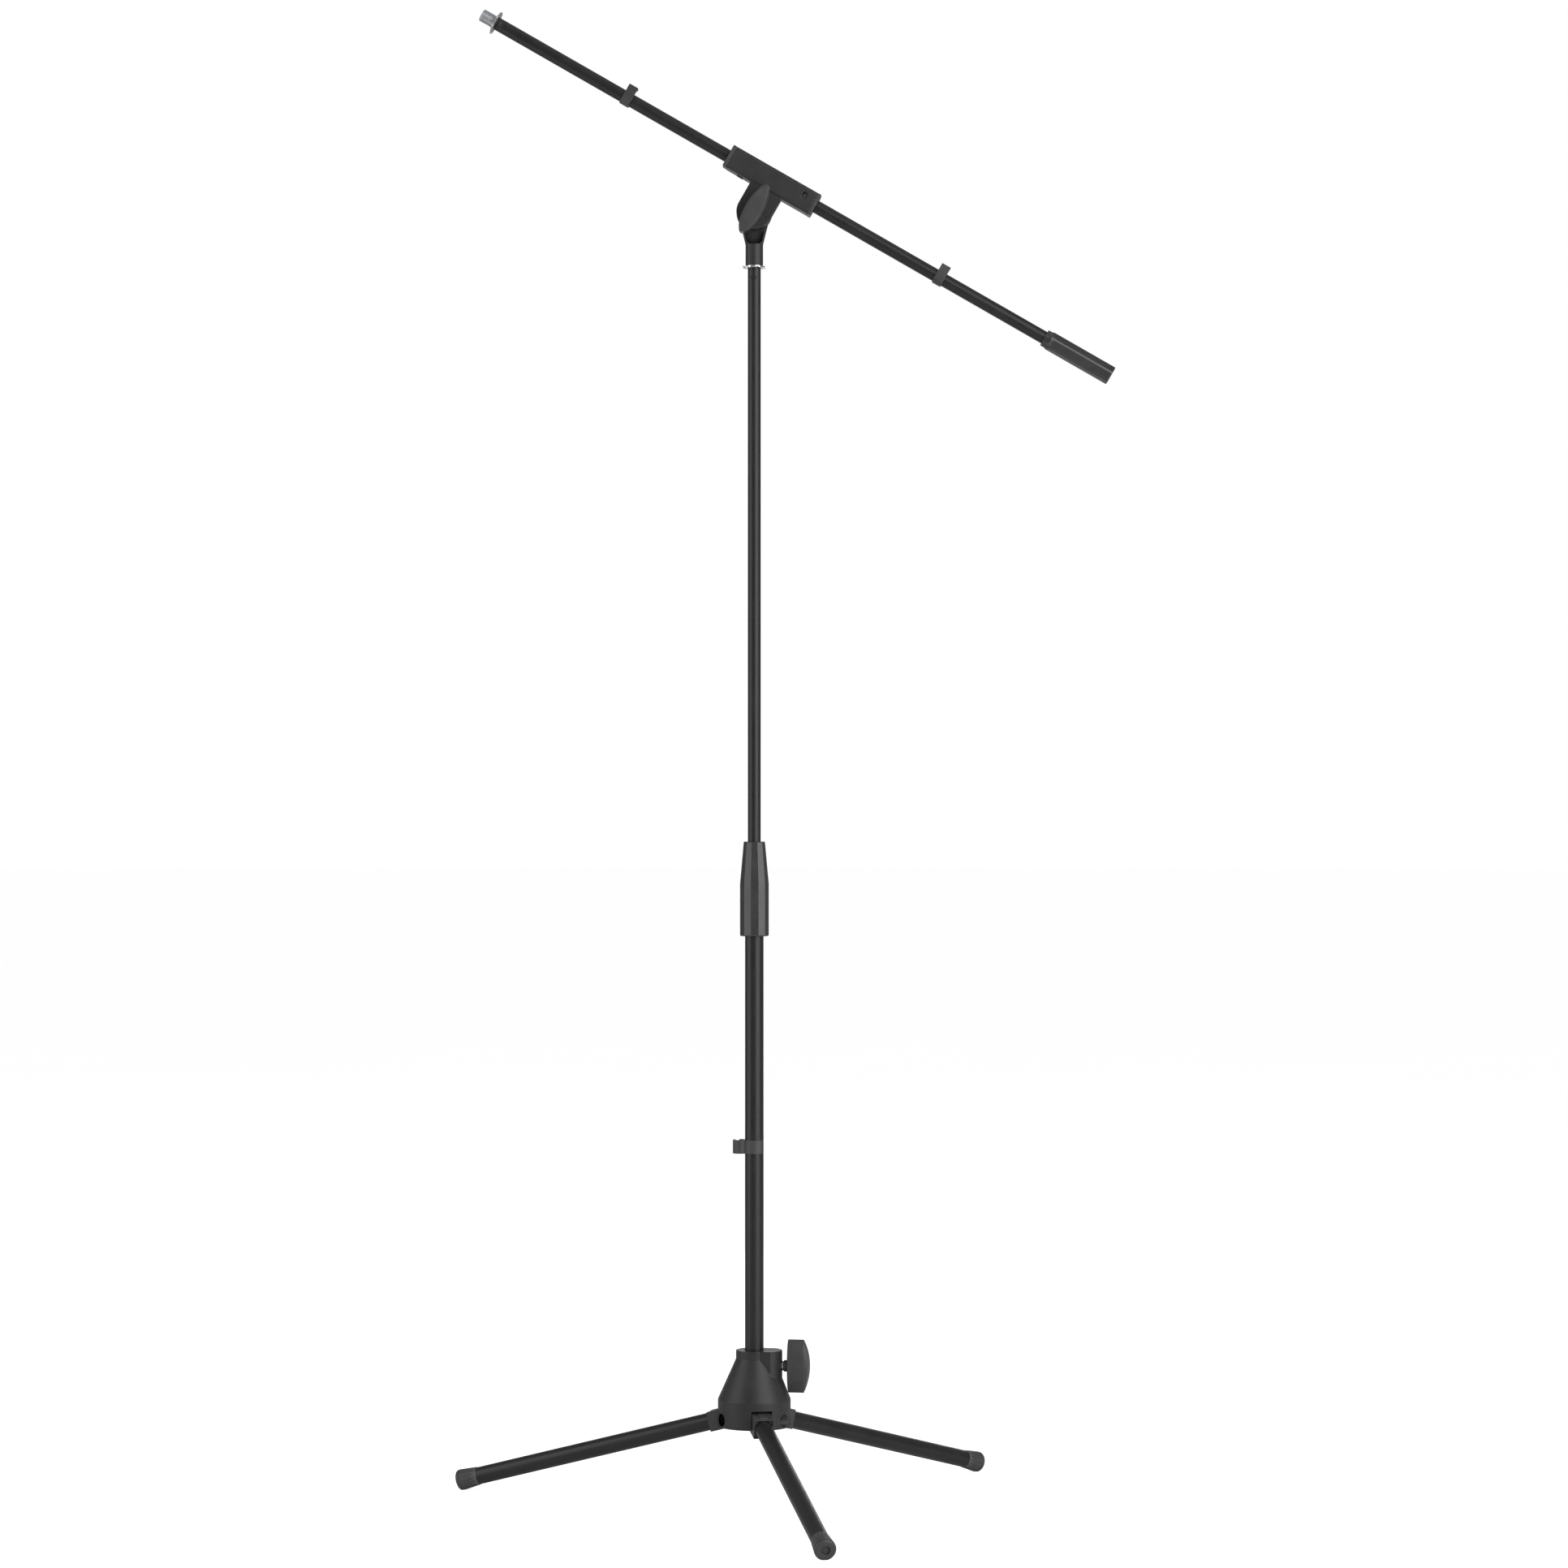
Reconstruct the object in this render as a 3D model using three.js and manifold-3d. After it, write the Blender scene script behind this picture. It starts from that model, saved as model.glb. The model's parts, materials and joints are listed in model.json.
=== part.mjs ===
// A tripod boom microphone stand: folding base, telescopic mast, tilting boom.
// Millimetres, +Z up. Every piece is first placed about the mast's axis, and the last lines move the
// whole stand so that its box is centred over the origin, with the feet on z = 0.
import * as THREE from "three";
import { ConvexGeometry } from "three/addons/geometries/ConvexGeometry.js";
import { mergeVertices } from "three/addons/utils/BufferGeometryUtils.js";
import Module from "manifold-3d";

const wasm = await Module();
wasm.setup();

// ---- Driving sizes ----

const gap = 0.3; // clearance between neighbouring pieces
const fit = 0.15; // tighter clearance, where a cap or ring hugs its tube
const wall = 1.3; // tube wall

const lowerRadius = 11.5;
const upperRadius = 8;
const boomRadius = 8.05;
const legRadius = 10.85;
const threadRadius = 7.94; // 5/8 inch microphone thread
const screwRadius = 3; // M6 clamp screws

const legSlope = THREE.MathUtils.degToRad(15);
const legAzimuths = { front: -77.525, right: 42.475, left: 162.475 };
const legPivot = { radius: 32.5, height: 107.3 };
const legReach = 371.1; // from the pivot to the foot's end face, along the leg
const footLength = 27.9;
const bracket = { width: 24, height: 24.5, length: 24.3, rim: 1.3 };
const pinRadius = 4;
const pinHead = { radius: 5.9, thickness: 3.5 };
const pinBoss = { radius: 10.4, reach: 33, blindEnd: 1.5 }; // round the pin, in the hub
const counterbore = { halfHeight: 7.9, halfWidth: 6.3 }; // an upright oval that takes the pin's head

const hub = { bottom: 97.5, cylinderTop: 131, coneTop: 180.7, top: 191.3, radius: 44.9, neck: 22.6 };
const slot = { width: 25.5, top: 120.7, inner: 19.5 };
const cheek = 4.5; // wall beside a leg slot
const cavity = { skin: 4, top: 148, tubeWall: 17.5 }; // the casting's hollow underside
const boss = {
  azimuth: -10, halfWidth: 20, reach: 34.8, endRadius: 23.5, padRadius: 7.2, bottom: 156, footHalfAngle: 40,
};
const baseScrewHeight = 172.3;
const shoe = { radius: 5.9, from: 12.1, to: 14.8 }; // pad between the base screw and the tube

const paddle = {
  halfLength: 32.75, halfWidth: 11, side: 19.8, crown: 6.2, shoulder: 2.2, neckRadius: 7.15, neck: 5.3,
};
const washer = { radius: 5.8, thickness: 1.6 };

const lowerBottom = 99.7;
const lowerTop = 766;
const plug = { bottom: 97.9, depth: 8 };
const clip = {
  height: 16.8, bottom: 433.2, wall: 1.4, mouth: 10.3,
  loopRadius: 9.4, loopX: -17.1, loopY: 1.5, loopWall: 1.8,
};
const clutch = { bottom: 701, shoulder: 765.8, top: 817.3, radius: 18.3, topRadius: 13.5, sides: 12 };
const clutchCollar = { radius: 14.4, bottom: 728 };
const collet = { shoulder: 11.4, shoulderHeight: 12, topRadius: 9.6, top: 803, slit: 1.6 };
const upperBottom = 690;
const guideBush = { from: 2, to: 32 }; // above the upper tube's bottom end
const mastTop = 1523.3;
const lockRing = { radius: 14.8, rootRadius: 13, teeth: 20, thickness: 2, hubRadius: 10.8, height: 3.4 };

const collar = { radius: 10.8, bottom: 1527.3, top: 1556.3 };
const tiltHeight = 1592.6;
const discRadius = 22; // round end of the tongue, and the ear behind it
const discSides = 36;
const ear = { front: 1, back: 11.5 };
const tongue = { front: -13, back: -1 };
const frictionDisc = { radius: 17, thickness: 1.4 };
const earPocket = { radius: 9.2, bottom: 1553, rim: 1.6, rimTop: 1569.8 }; // the recess below the tongue
const nut = { radius: 5.7, from: 6.8, to: 11.3 }; // hexagonal, sunk in the ear's back
const tiltScrewEnd = 11;

const boomSlope = THREE.MathUtils.degToRad(29.86);
const boomOffset = 43.9; // from the tilt pivot to the boom's axis
const clamp = { halfLength: 57, half: 14.5, bushFlange: 4.7, sleeveRadius: 11, sleeveLength: 30 };
const windowAt = { along: 43.8, above: 3.1, length: 5.6, height: 8 };
const boom = { head: -390.7, tip: -412.2, tail: 478, gripStart: 386.8, gripEnd: 481.3 };
const gripNeck = { radius: 10.8, length: 5, chamfer: 3, radiusFull: 11.8 };
const boomClip = { width: 12, radius: 9.8, top: 16.45, bevel: 5, wall: 1.85, headAt: -205.2, tailAt: 238.3 };
const boomClipPocket = 6.3;

const past = 5; // how far a cutting tool runs beyond what it cuts
const through = 60; // a tool that goes right through a small piece

// ---- Shape helpers ----

// A closed geometry as a manifold-3d solid.
function solid(geometry) {
  const bare = geometry.clone();
  bare.deleteAttribute("normal");
  bare.deleteAttribute("uv");
  const merged = mergeVertices(bare, 1e-4);
  const vertProperties = new Float32Array(merged.attributes.position.array);
  const triVerts = new Uint32Array(merged.index.array);
  return new wasm.Manifold(new wasm.Mesh({ numProp: 3, vertProperties, triVerts }));
}

function geometryOf(made) {
  const mesh = made.getMesh();
  const indexed = new THREE.BufferGeometry();
  indexed.setAttribute("position", new THREE.BufferAttribute(mesh.vertProperties, 3));
  indexed.setIndex(new THREE.BufferAttribute(mesh.triVerts, 1));
  const flat = indexed.toNonIndexed();
  flat.computeVertexNormals();
  return flat;
}

function join(first, ...others) {
  return geometryOf(others.reduce((sum, other) => sum.add(solid(other)), solid(first)));
}

function cut(first, ...tools) {
  return geometryOf(tools.reduce((rest, tool) => rest.subtract(solid(tool)), solid(first)));
}

function common(first, second) {
  return geometryOf(solid(first).intersect(solid(second)));
}

const roundSides = 24;
const smallSides = 12; // screws, pins and their holes
const bowSides = 120; // the paddles' large front radius

// A profile of [radius, height] points turned about Z. It closes on itself.
function turned(profile, sides = roundSides) {
  const points = profile.map(([radius, height]) => new THREE.Vector2(radius, height));
  const inwards = THREE.ShapeUtils.area(points) < 0;
  const ordered = inwards ? points.reverse() : points;
  return new THREE.LatheGeometry([...ordered, ordered[0].clone()], sides).rotateX(Math.PI / 2);
}

function rod(radius, from, to, sides) {
  return turned([[0, from], [radius, from], [radius, to], [0, to]], sides);
}

function pipe(outer, inner, from, to, sides) {
  return turned([[inner, from], [outer, from], [outer, to], [inner, to]], sides);
}

// A box between two corners.
function block(low, high) {
  const size = high.map((value, axis) => value - low[axis]);
  const middle = high.map((value, axis) => (value + low[axis]) / 2);
  return new THREE.BoxGeometry(...size).translate(...middle);
}

function extruded(shape, from, to, curveSegments = 8) {
  const options = { depth: to - from, bevelEnabled: false, curveSegments };
  return new THREE.ExtrudeGeometry(shape, options).translate(0, 0, from);
}

function polygon(points) {
  return new THREE.Shape(points.map(([x, y]) => new THREE.Vector2(x, y)));
}

// A rectangle with one radius per corner, from the lower left corner round to the upper left.
function rounded(halfX, halfY, radii) {
  const [lowerLeft, lowerRight, upperRight, upperLeft] = radii;
  const shape = new THREE.Shape();
  shape.moveTo(-halfX + lowerLeft, -halfY);
  shape.lineTo(halfX - lowerRight, -halfY);
  shape.quadraticCurveTo(halfX, -halfY, halfX, -halfY + lowerRight);
  shape.lineTo(halfX, halfY - upperRight);
  shape.quadraticCurveTo(halfX, halfY, halfX - upperRight, halfY);
  shape.lineTo(-halfX + upperLeft, halfY);
  shape.quadraticCurveTo(-halfX, halfY, -halfX, halfY - upperLeft);
  shape.lineTo(-halfX, -halfY + lowerLeft);
  shape.quadraticCurveTo(-halfX, -halfY, -halfX + lowerLeft, -halfY);
  return shape;
}

// Turns a shape made along Z so that it lies along X, keeping +Y.
const alongX = (geometry) => geometry.rotateY(Math.PI / 2);

// Turns a shape made along Z so that it lies along Y, keeping +X.
const alongY = (geometry) => geometry.rotateX(-Math.PI / 2);

// ---- Materials ----

const finish = (colour, roughness, metalness) => ({ colour, roughness, metalness });
const tubeBlack = finish(0x2e2e2e, 0.4, 0.3);
const castBlack = finish(0x3a3a3a, 0.5, 0.3);
const mouldedGrey = finish(0x484848, 0.55, 0);
const rubber = finish(0x4c4c4c, 0.8, 0);
const brightSteel = finish(0xd5d8da, 0.25, 1);
const zinc = finish(0x8a9090, 0.4, 1);

function piece(group, name, geometry, look) {
  const { colour, roughness, metalness } = look;
  const material = new THREE.MeshStandardMaterial({ color: colour, roughness, metalness });
  const mesh = new THREE.Mesh(geometry, material);
  mesh.name = name;
  group.add(mesh);
  return mesh;
}

const stand = new THREE.Group();

// ---- Base: hub ----

const hubSides = 36;
const coneFall = (hub.radius - hub.neck) / (hub.coneTop - hub.cylinderTop);
const boreRadius = lowerRadius + gap;

function atAzimuth(geometry, degrees) {
  return geometry.rotateZ(THREE.MathUtils.degToRad(degrees));
}

// The clamp boss stands on the collar, and a drafted foot blends it into the cylinder's rim. Its flat sides
// meet a round end at an edge, and the washer has a flat pad.
function clampBoss() {
  const { halfWidth, reach, endRadius, padRadius } = boss;
  const endSteps = 8;
  const endTurn = Math.asin(halfWidth / endRadius);
  const outline = [[0, -halfWidth]];
  for (let step = 0; step <= endSteps; step++) {
    const angle = endTurn * (2 * step / endSteps - 1);
    outline.push([reach - endRadius * (1 - Math.cos(angle)), endRadius * Math.sin(angle)]);
  }
  outline.push([0, halfWidth]);
  const upright = extruded(polygon(outline), boss.bottom, hub.top);
  const pad = alongX(rod(padRadius, reach - 2, reach, smallSides)).translate(0, 0, baseScrewHeight);
  const rim = [];
  const rimSteps = 8;
  for (let step = 0; step <= rimSteps; step++) {
    const angle = THREE.MathUtils.degToRad(boss.footHalfAngle * (2 * step / rimSteps - 1));
    rim.push(new THREE.Vector3(hub.radius * Math.cos(angle), hub.radius * Math.sin(angle), hub.cylinderTop));
  }
  const footTop = outline.map(([x, y]) => new THREE.Vector3(x, y, boss.bottom + 1));
  const foot = new ConvexGeometry([...rim, ...footTop]);
  return join(upright, foot, pad);
}

function hubOutside() {
  const { bottom, cylinderTop, coneTop, top, radius, neck } = hub;
  const body = turned([[0, bottom], [radius, bottom], [radius, cylinderTop], [neck, coneTop],
    [neck, top], [0, top]], hubSides);
  return join(body, atAzimuth(clampBoss(), boss.azimuth));
}

// The casting is hollow below, round a central tube, and each leg slot has cheeks and a roof.
function hubCavity() {
  const { skin, top, tubeWall } = cavity;
  const outer = hub.radius - skin;
  const topRadius = outer - (top - hub.cylinderTop) * coneFall;
  const bottom = hub.bottom - past;
  return turned([[tubeWall, bottom], [outer, bottom], [outer, hub.cylinderTop], [topRadius, top],
    [tubeWall, top]], hubSides);
}

const cheekFace = slot.width / 2 + cheek;

function legMounting(degrees) {
  const roof = slot.top + cheek;
  const walls = block([slot.inner - past, -cheekFace, hub.bottom], [hub.radius - 2, cheekFace, roof]);
  const tunnel = alongY(rod(pinBoss.radius, cheekFace - 1, pinBoss.reach))
    .translate(legPivot.radius, 0, legPivot.height);
  return atAzimuth(join(walls, tunnel), degrees);
}

function legCuts(degrees) {
  const opening = block([slot.inner, -slot.width / 2, hub.bottom - past],
    [hub.radius + past, slot.width / 2, slot.top]);
  const pinHole = alongY(rod(pinRadius + gap, pinBoss.blindEnd - cheekFace, through, smallSides));
  const { halfHeight, halfWidth } = counterbore;
  const oval = alongY(rod(halfHeight, cheekFace, through)).scale(halfWidth / halfHeight, 1, 1);
  const drilled = join(pinHole, oval).translate(legPivot.radius, 0, legPivot.height);
  return atAzimuth(join(opening, drilled), degrees);
}

function clampScrewCuts() {
  const hole = rod(screwRadius + gap, lowerRadius, boss.reach + past, smallSides);
  const shoePocket = rod(shoe.radius + gap, lowerRadius - 3, shoe.to + gap);
  const cuts = alongX(join(hole, shoePocket)).translate(0, 0, baseScrewHeight);
  return atAzimuth(cuts, boss.azimuth);
}

function tripodHub() {
  const outside = hubOutside();
  const azimuths = Object.values(legAzimuths);
  const mountings = azimuths.map((degrees) => common(legMounting(degrees), outside));
  const shell = cut(outside, hubCavity());
  const bore = rod(boreRadius, hub.bottom - past, hub.top + past);
  return cut(join(shell, ...mountings), bore, ...azimuths.map(legCuts), clampScrewCuts());
}

piece(stand, "tripod_hub", tripodHub(), castBlack);

// ---- Base: legs ----

// In a leg's own frame X runs outwards along the leg from its pivot and Z is up from it.
function legBracket() {
  const { width, height, length, rim } = bracket;
  const rib = { from: 6, to: length - 4, halfWidth: 5, height: 0.9 };
  const socketFloor = 7.5;
  const recessDepth = 1.5;
  const body = block([0, -width / 2, -height / 2], [length, width / 2, height / 2]);
  const eye = alongY(rod(height / 2, -width / 2, width / 2));
  const ribBlock = block([rib.from, -rib.halfWidth, height / 2 - 1],
    [rib.to, rib.halfWidth, height / 2 + rib.height]);
  const pinHole = alongY(rod(pinRadius + gap, -width, width, smallSides));
  const socket = alongX(rod(legRadius + fit, socketFloor, length + past));
  const face = [width / 2 - rim, height / 2 - rim];
  const recess = block([length - recessDepth, -face[0], -face[1]], [length + past, ...face]);
  return cut(join(body, eye, ribBlock), pinHole, socket, recess);
}

const footEndWall = 5;

function legTube() {
  const from = 7.8;
  return alongX(pipe(legRadius, legRadius - wall, from, legReach - footEndWall - 0.4));
}

// The rubber cap is cut flat where it stands on the floor.
function foot() {
  const innerRadius = 11.4;
  const outerRadius = 13.1;
  const round = 4;
  const recess = { radius: 4.8, depth: 3 };
  const pocket = legRadius + fit;
  const start = legReach - footLength;
  const pocketEnd = legReach - footEndWall;
  const profile = [[pocket, start], [innerRadius, start], [outerRadius, legReach - round]];
  const roundSteps = 3;
  for (let step = 1; step <= roundSteps; step++) {
    const angle = (step / roundSteps) * (Math.PI / 2);
    const radius = outerRadius - round + round * Math.cos(angle);
    profile.push([radius, legReach - round + round * Math.sin(angle)]);
  }
  profile.push([recess.radius, legReach], [recess.radius, legReach - recess.depth],
    [0, legReach - recess.depth], [0, pocketEnd], [pocket, pocketEnd]);
  const floorHalf = 500;
  const floor = block([-floorHalf, -floorHalf, -floorHalf], [floorHalf, floorHalf, 0])
    .translate(0, 0, -legPivot.height)
    .rotateY(-legSlope);
  return cut(alongX(turned(profile)), floor);
}

function hingePin() {
  const { radius, thickness } = pinHead;
  const seat = cheekFace + gap;
  const end = pinBoss.blindEnd + 0.7 - cheekFace;
  return alongY(turned([[0, end], [pinRadius, end], [pinRadius, seat],
    [radius, seat], [radius, seat + thickness], [0, seat + thickness]], smallSides));
}

for (const [side, degrees] of Object.entries(legAzimuths)) {
  const turn = new THREE.Group();
  turn.rotation.z = THREE.MathUtils.degToRad(degrees);
  const pivot = new THREE.Group();
  pivot.position.set(legPivot.radius, 0, legPivot.height);
  const leg = new THREE.Group();
  leg.rotation.y = legSlope;
  piece(leg, `leg_bracket_${side}`, legBracket(), mouldedGrey);
  piece(leg, `leg_tube_${side}`, legTube(), tubeBlack);
  piece(leg, `foot_${side}`, foot(), rubber);
  piece(pivot, `hinge_pin_${side}`, hingePin(), zinc);
  pivot.add(leg);
  turn.add(pivot);
  stand.add(turn);
}

// ---- Clamp knobs ----

// A knob stands along Z from z = 0 at its neck's end. Its paddle is an ellipse, long in X. The front is bowed
// along the paddle, and steep shoulders take it down to a level rim.
function paddleKnob(screwDepth) {
  const { halfLength, halfWidth, side, crown, shoulder, neck, neckRadius } = paddle;
  const edge = 1.4;
  const front = neck + side + crown;
  const stretch = halfLength / halfWidth;
  const profile = [[0, neck], [halfLength - edge, neck], [halfLength, neck + edge], [halfLength, neck + side],
    [halfLength - shoulder * stretch, front], [0, front]];
  const bow = (halfLength ** 2 + crown ** 2) / (2 * crown);
  const bowed = alongY(rod(bow, -halfLength, halfLength, bowSides)).translate(0, 0, front - bow);
  const body = common(turned(profile).scale(1, 1 / stretch, 1), bowed);
  const throat = rod(neckRadius, 0, neck + 1);
  return cut(join(body, throat), rod(screwRadius + gap, -past, screwDepth, smallSides));
}

const washerRing = () => pipe(washer.radius, screwRadius + gap, 0, washer.thickness);

const knobScrewDepth = 14; // how far a screw reaches into its knob

// ---- Base: clamp ----

const baseClamp = new THREE.Group();
baseClamp.position.z = baseScrewHeight;
baseClamp.rotation.order = "ZYX";
baseClamp.rotation.set(0, Math.PI / 2, THREE.MathUtils.degToRad(boss.azimuth));
const baseWasherAt = boss.reach + gap;
const baseKnobAt = baseWasherAt + washer.thickness + gap;
const baseScrew = rod(screwRadius, shoe.to + gap, baseKnobAt + knobScrewDepth - gap, smallSides);
piece(baseClamp, "base_shoe", rod(shoe.radius, shoe.from, shoe.to), zinc);
piece(baseClamp, "base_screw", baseScrew, zinc);
piece(baseClamp, "base_washer", washerRing().translate(0, 0, baseWasherAt), brightSteel);
piece(baseClamp, "base_knob", paddleKnob(knobScrewDepth).translate(0, 0, baseKnobAt), mouldedGrey);
stand.add(baseClamp);

// ---- Lower mast ----

const lowerInner = lowerRadius - wall;
piece(stand, "lower_tube", pipe(lowerRadius, lowerInner, lowerBottom, lowerTop), tubeBlack);
const plugTop = lowerBottom + plug.depth;
const plugFlange = lowerRadius - gap;
const plugProfile = [[0, plug.bottom], [plugFlange, plug.bottom], [plugFlange, lowerBottom - gap],
  [lowerInner - gap, lowerBottom - gap], [lowerInner - gap, plugTop], [0, plugTop]];
piece(stand, "lower_plug", turned(plugProfile), mouldedGrey);

// A snap ring with a second, open loop beside it for a cable.
function mastCableClip() {
  const { height, bottom, loopRadius, loopX, loopY, loopWall, mouth } = clip;
  const top = bottom + height;
  const low = bottom - past;
  const high = top + past;
  const slitHalf = 3;
  const slitTurn = 0.5;
  const ring = rod(lowerRadius + fit + clip.wall, bottom, top);
  const loop = rod(loopRadius, bottom, top).translate(loopX, loopY, 0);
  const tubeHole = rod(lowerRadius + fit, low, high);
  const cableHole = rod(loopRadius - loopWall, low, high).translate(loopX, loopY, 0);
  const tubeMouth = block([mouth, -through, low], [through, through, high]);
  const cableMouth = block([-slitHalf, 0, low], [slitHalf, 2 * loopRadius, high])
    .rotateZ(slitTurn)
    .translate(loopX, loopY, 0);
  return cut(join(cut(loop, cableHole, cableMouth), ring), tubeHole, tubeMouth);
}

piece(stand, "mast_cable_clip", mastCableClip(), mouldedGrey);

// ---- Clutch ----

const collarPiece = pipe(clutchCollar.radius, lowerRadius + gap, clutchCollar.bottom, lowerTop);
piece(stand, "clutch_collar", collarPiece, mouldedGrey);

const colletBottom = lowerTop + gap;
const colletShoulder = colletBottom + collet.shoulderHeight;
const colletProfile = [[upperRadius + gap, colletBottom], [collet.shoulder, colletBottom],
  [collet.shoulder, colletShoulder], [collet.topRadius, collet.top], [upperRadius + gap, collet.top]];
const colletSlit = block([upperRadius - 3, -collet.slit / 2, colletBottom - past],
  [collet.shoulder + past, collet.slit / 2, collet.top + past]);
piece(stand, "clutch_collet", cut(turned(colletProfile), colletSlit), mouldedGrey);

function clutchGrip() {
  const { bottom, shoulder, top, radius, topRadius, sides } = clutch;
  const chamfer = 1;
  const clear = 0.4; // all round the pieces inside, so that it turns freely
  const firstVertex = THREE.MathUtils.degToRad(-12);
  const outside = turned([[0, bottom], [radius - chamfer, bottom], [radius, bottom + chamfer],
    [radius, shoulder], [topRadius, top], [0, top]], sides).rotateZ(firstVertex);
  const collarRoom = clutchCollar.radius + clear;
  const shoulderRoom = collet.shoulder + clear + 0.1;
  const inside = turned([[0, bottom - past], [lowerRadius + clear, bottom - past],
    [lowerRadius + clear, clutchCollar.bottom - 4], [collarRoom, clutchCollar.bottom - 2],
    [collarRoom, lowerTop + 1], [shoulderRoom, lowerTop + 3], [shoulderRoom, colletShoulder + 1],
    [collet.topRadius + clear + 0.1, collet.top + 0.5], [upperRadius + clear, collet.top + 1],
    [upperRadius + clear, top + past], [0, top + past]]);
  return cut(outside, inside);
}

piece(stand, "clutch_grip", clutchGrip(), rubber);

// ---- Upper mast ----

const upperInner = upperRadius - wall;
const upperTube = pipe(upperRadius, upperInner, upperBottom, mastTop);
piece(stand, "upper_tube", upperTube, tubeBlack);
const bush = pipe(lowerInner - gap, upperRadius + fit, upperBottom + guideBush.from,
  upperBottom + guideBush.to);
piece(stand, "guide_bush", bush, mouldedGrey);

const studSink = 20; // how far a stud reaches into its tube
const studReach = 23;
const studInTube = upperInner - gap;
const mastStud = turned([[0, mastTop - studSink], [studInTube, mastTop - studSink],
  [studInTube, mastTop + gap], [threadRadius, mastTop + gap], [threadRadius, mastTop + studReach],
  [0, mastTop + studReach]]);
piece(stand, "mast_stud", mastStud, zinc);

// A toothed locking ring, teeth down, from z = 0 up.
function serratedRing() {
  const { radius, rootRadius, teeth, thickness, hubRadius, height } = lockRing;
  const outline = [];
  for (let tooth = 0; tooth < teeth * 2; tooth++) {
    const angle = (tooth / (teeth * 2)) * Math.PI * 2;
    const reach = tooth % 2 ? rootRadius : radius;
    outline.push([reach * Math.cos(angle), reach * Math.sin(angle)]);
  }
  const star = extruded(polygon(outline), 0, thickness);
  const shoulder = rod(hubRadius, thickness - 0.5, height);
  return cut(join(star, shoulder), rod(threadRadius + gap, -past, height + past));
}

piece(stand, "mast_lock_ring", serratedRing().translate(0, 0, mastTop + gap), brightSteel);

// ---- Head: knuckle ----

// The collar flares into a flat ear. A round-bottomed recess in its front leaves a thin rim.
function swivelKnuckle() {
  const { radius, bottom, top } = collar;
  const flare = [[radius, top - 4], [14, top + 10], [17.7, top + 25], [discRadius, tiltHeight]];
  const outline = polygon([...flare, ...flare.map(([x, z]) => [-x, z]).reverse()]);
  const cone = turned([[0, top - 4], [radius, top - 4], [discRadius + 2, top + 12],
    [discRadius + 12, tiltHeight], [0, tiltHeight]]);
  const neck = common(extruded(outline, -ear.back, radius).rotateX(Math.PI / 2), cone);
  const disc = alongY(rod(discRadius, ear.front, ear.back, discSides)).translate(0, 0, tiltHeight);
  const post = rod(radius, bottom, top + 6);

  const recess = new THREE.Shape();
  recess.absarc(0, earPocket.bottom + earPocket.radius, earPocket.radius, Math.PI, 2 * Math.PI);
  flare.slice(1).forEach(([x, z]) => recess.lineTo(x - earPocket.rim, z));
  flare.slice(1).reverse().forEach(([x, z]) => recess.lineTo(earPocket.rim - x, z));
  const recessCut = extruded(recess, -ear.front, through).rotateX(Math.PI / 2);
  const high = tiltHeight + through;
  const tongueRoom = block([-through, -through, earPocket.rimTop], [through, ear.front, high]);
  const backRound = block([-through, ear.back, top - past], [through, through, high]);
  const thread = rod(threadRadius + gap, bottom - past, mastTop + studReach + 1);
  const screwHole = alongY(rod(screwRadius + gap, -through, through, smallSides)).translate(0, 0, tiltHeight);
  const nutPocket = alongY(rod(nut.radius + 0.4, nut.from - gap, through, 6)).translate(0, 0, tiltHeight);
  return cut(join(post, neck, disc), recessCut, tongueRoom, backRound, thread, screwHole, nutPocket);
}

piece(stand, "swivel_knuckle", swivelKnuckle(), castBlack);

const tiltAxis = new THREE.Group();
tiltAxis.position.z = tiltHeight;
stand.add(tiltAxis);

const discGeometry = alongY(pipe(frictionDisc.radius, screwRadius + gap,
  -frictionDisc.thickness / 2, frictionDisc.thickness / 2));
piece(tiltAxis, "friction_disc", discGeometry, mouldedGrey);
const hexNut = cut(rod(nut.radius, nut.from, nut.to, 6), rod(screwRadius + gap, 0, through, smallSides));
piece(tiltAxis, "tilt_nut", alongY(hexNut), zinc);

// The knob points to the front, with its paddle square to the boom.
const tiltClamp = new THREE.Group();
tiltClamp.rotation.set(Math.PI / 2, 0, 0);
const tiltWasherAt = -tongue.front + gap;
const tiltKnobAt = tiltWasherAt + washer.thickness + gap;
const tiltScrew = rod(screwRadius, -tiltScrewEnd, tiltKnobAt + knobScrewDepth - gap, smallSides);
const tiltKnob = paddleKnob(knobScrewDepth).rotateZ(Math.PI / 2 - boomSlope);
piece(tiltClamp, "tilt_screw", tiltScrew, zinc);
piece(tiltClamp, "tilt_washer", washerRing().translate(0, 0, tiltWasherAt), brightSteel);
piece(tiltClamp, "tilt_knob", tiltKnob.translate(0, 0, tiltKnobAt), mouldedGrey);
tiltAxis.add(tiltClamp);

// ---- Head: boom clamp ----

// In the boom's frame X runs to the tail and Z from the tilt pivot to the boom.
const boomFrame = new THREE.Group();
boomFrame.rotation.y = boomSlope;
tiltAxis.add(boomFrame);
const boomAxis = new THREE.Group();
boomAxis.position.z = boomOffset;
boomFrame.add(boomAxis);

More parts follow.
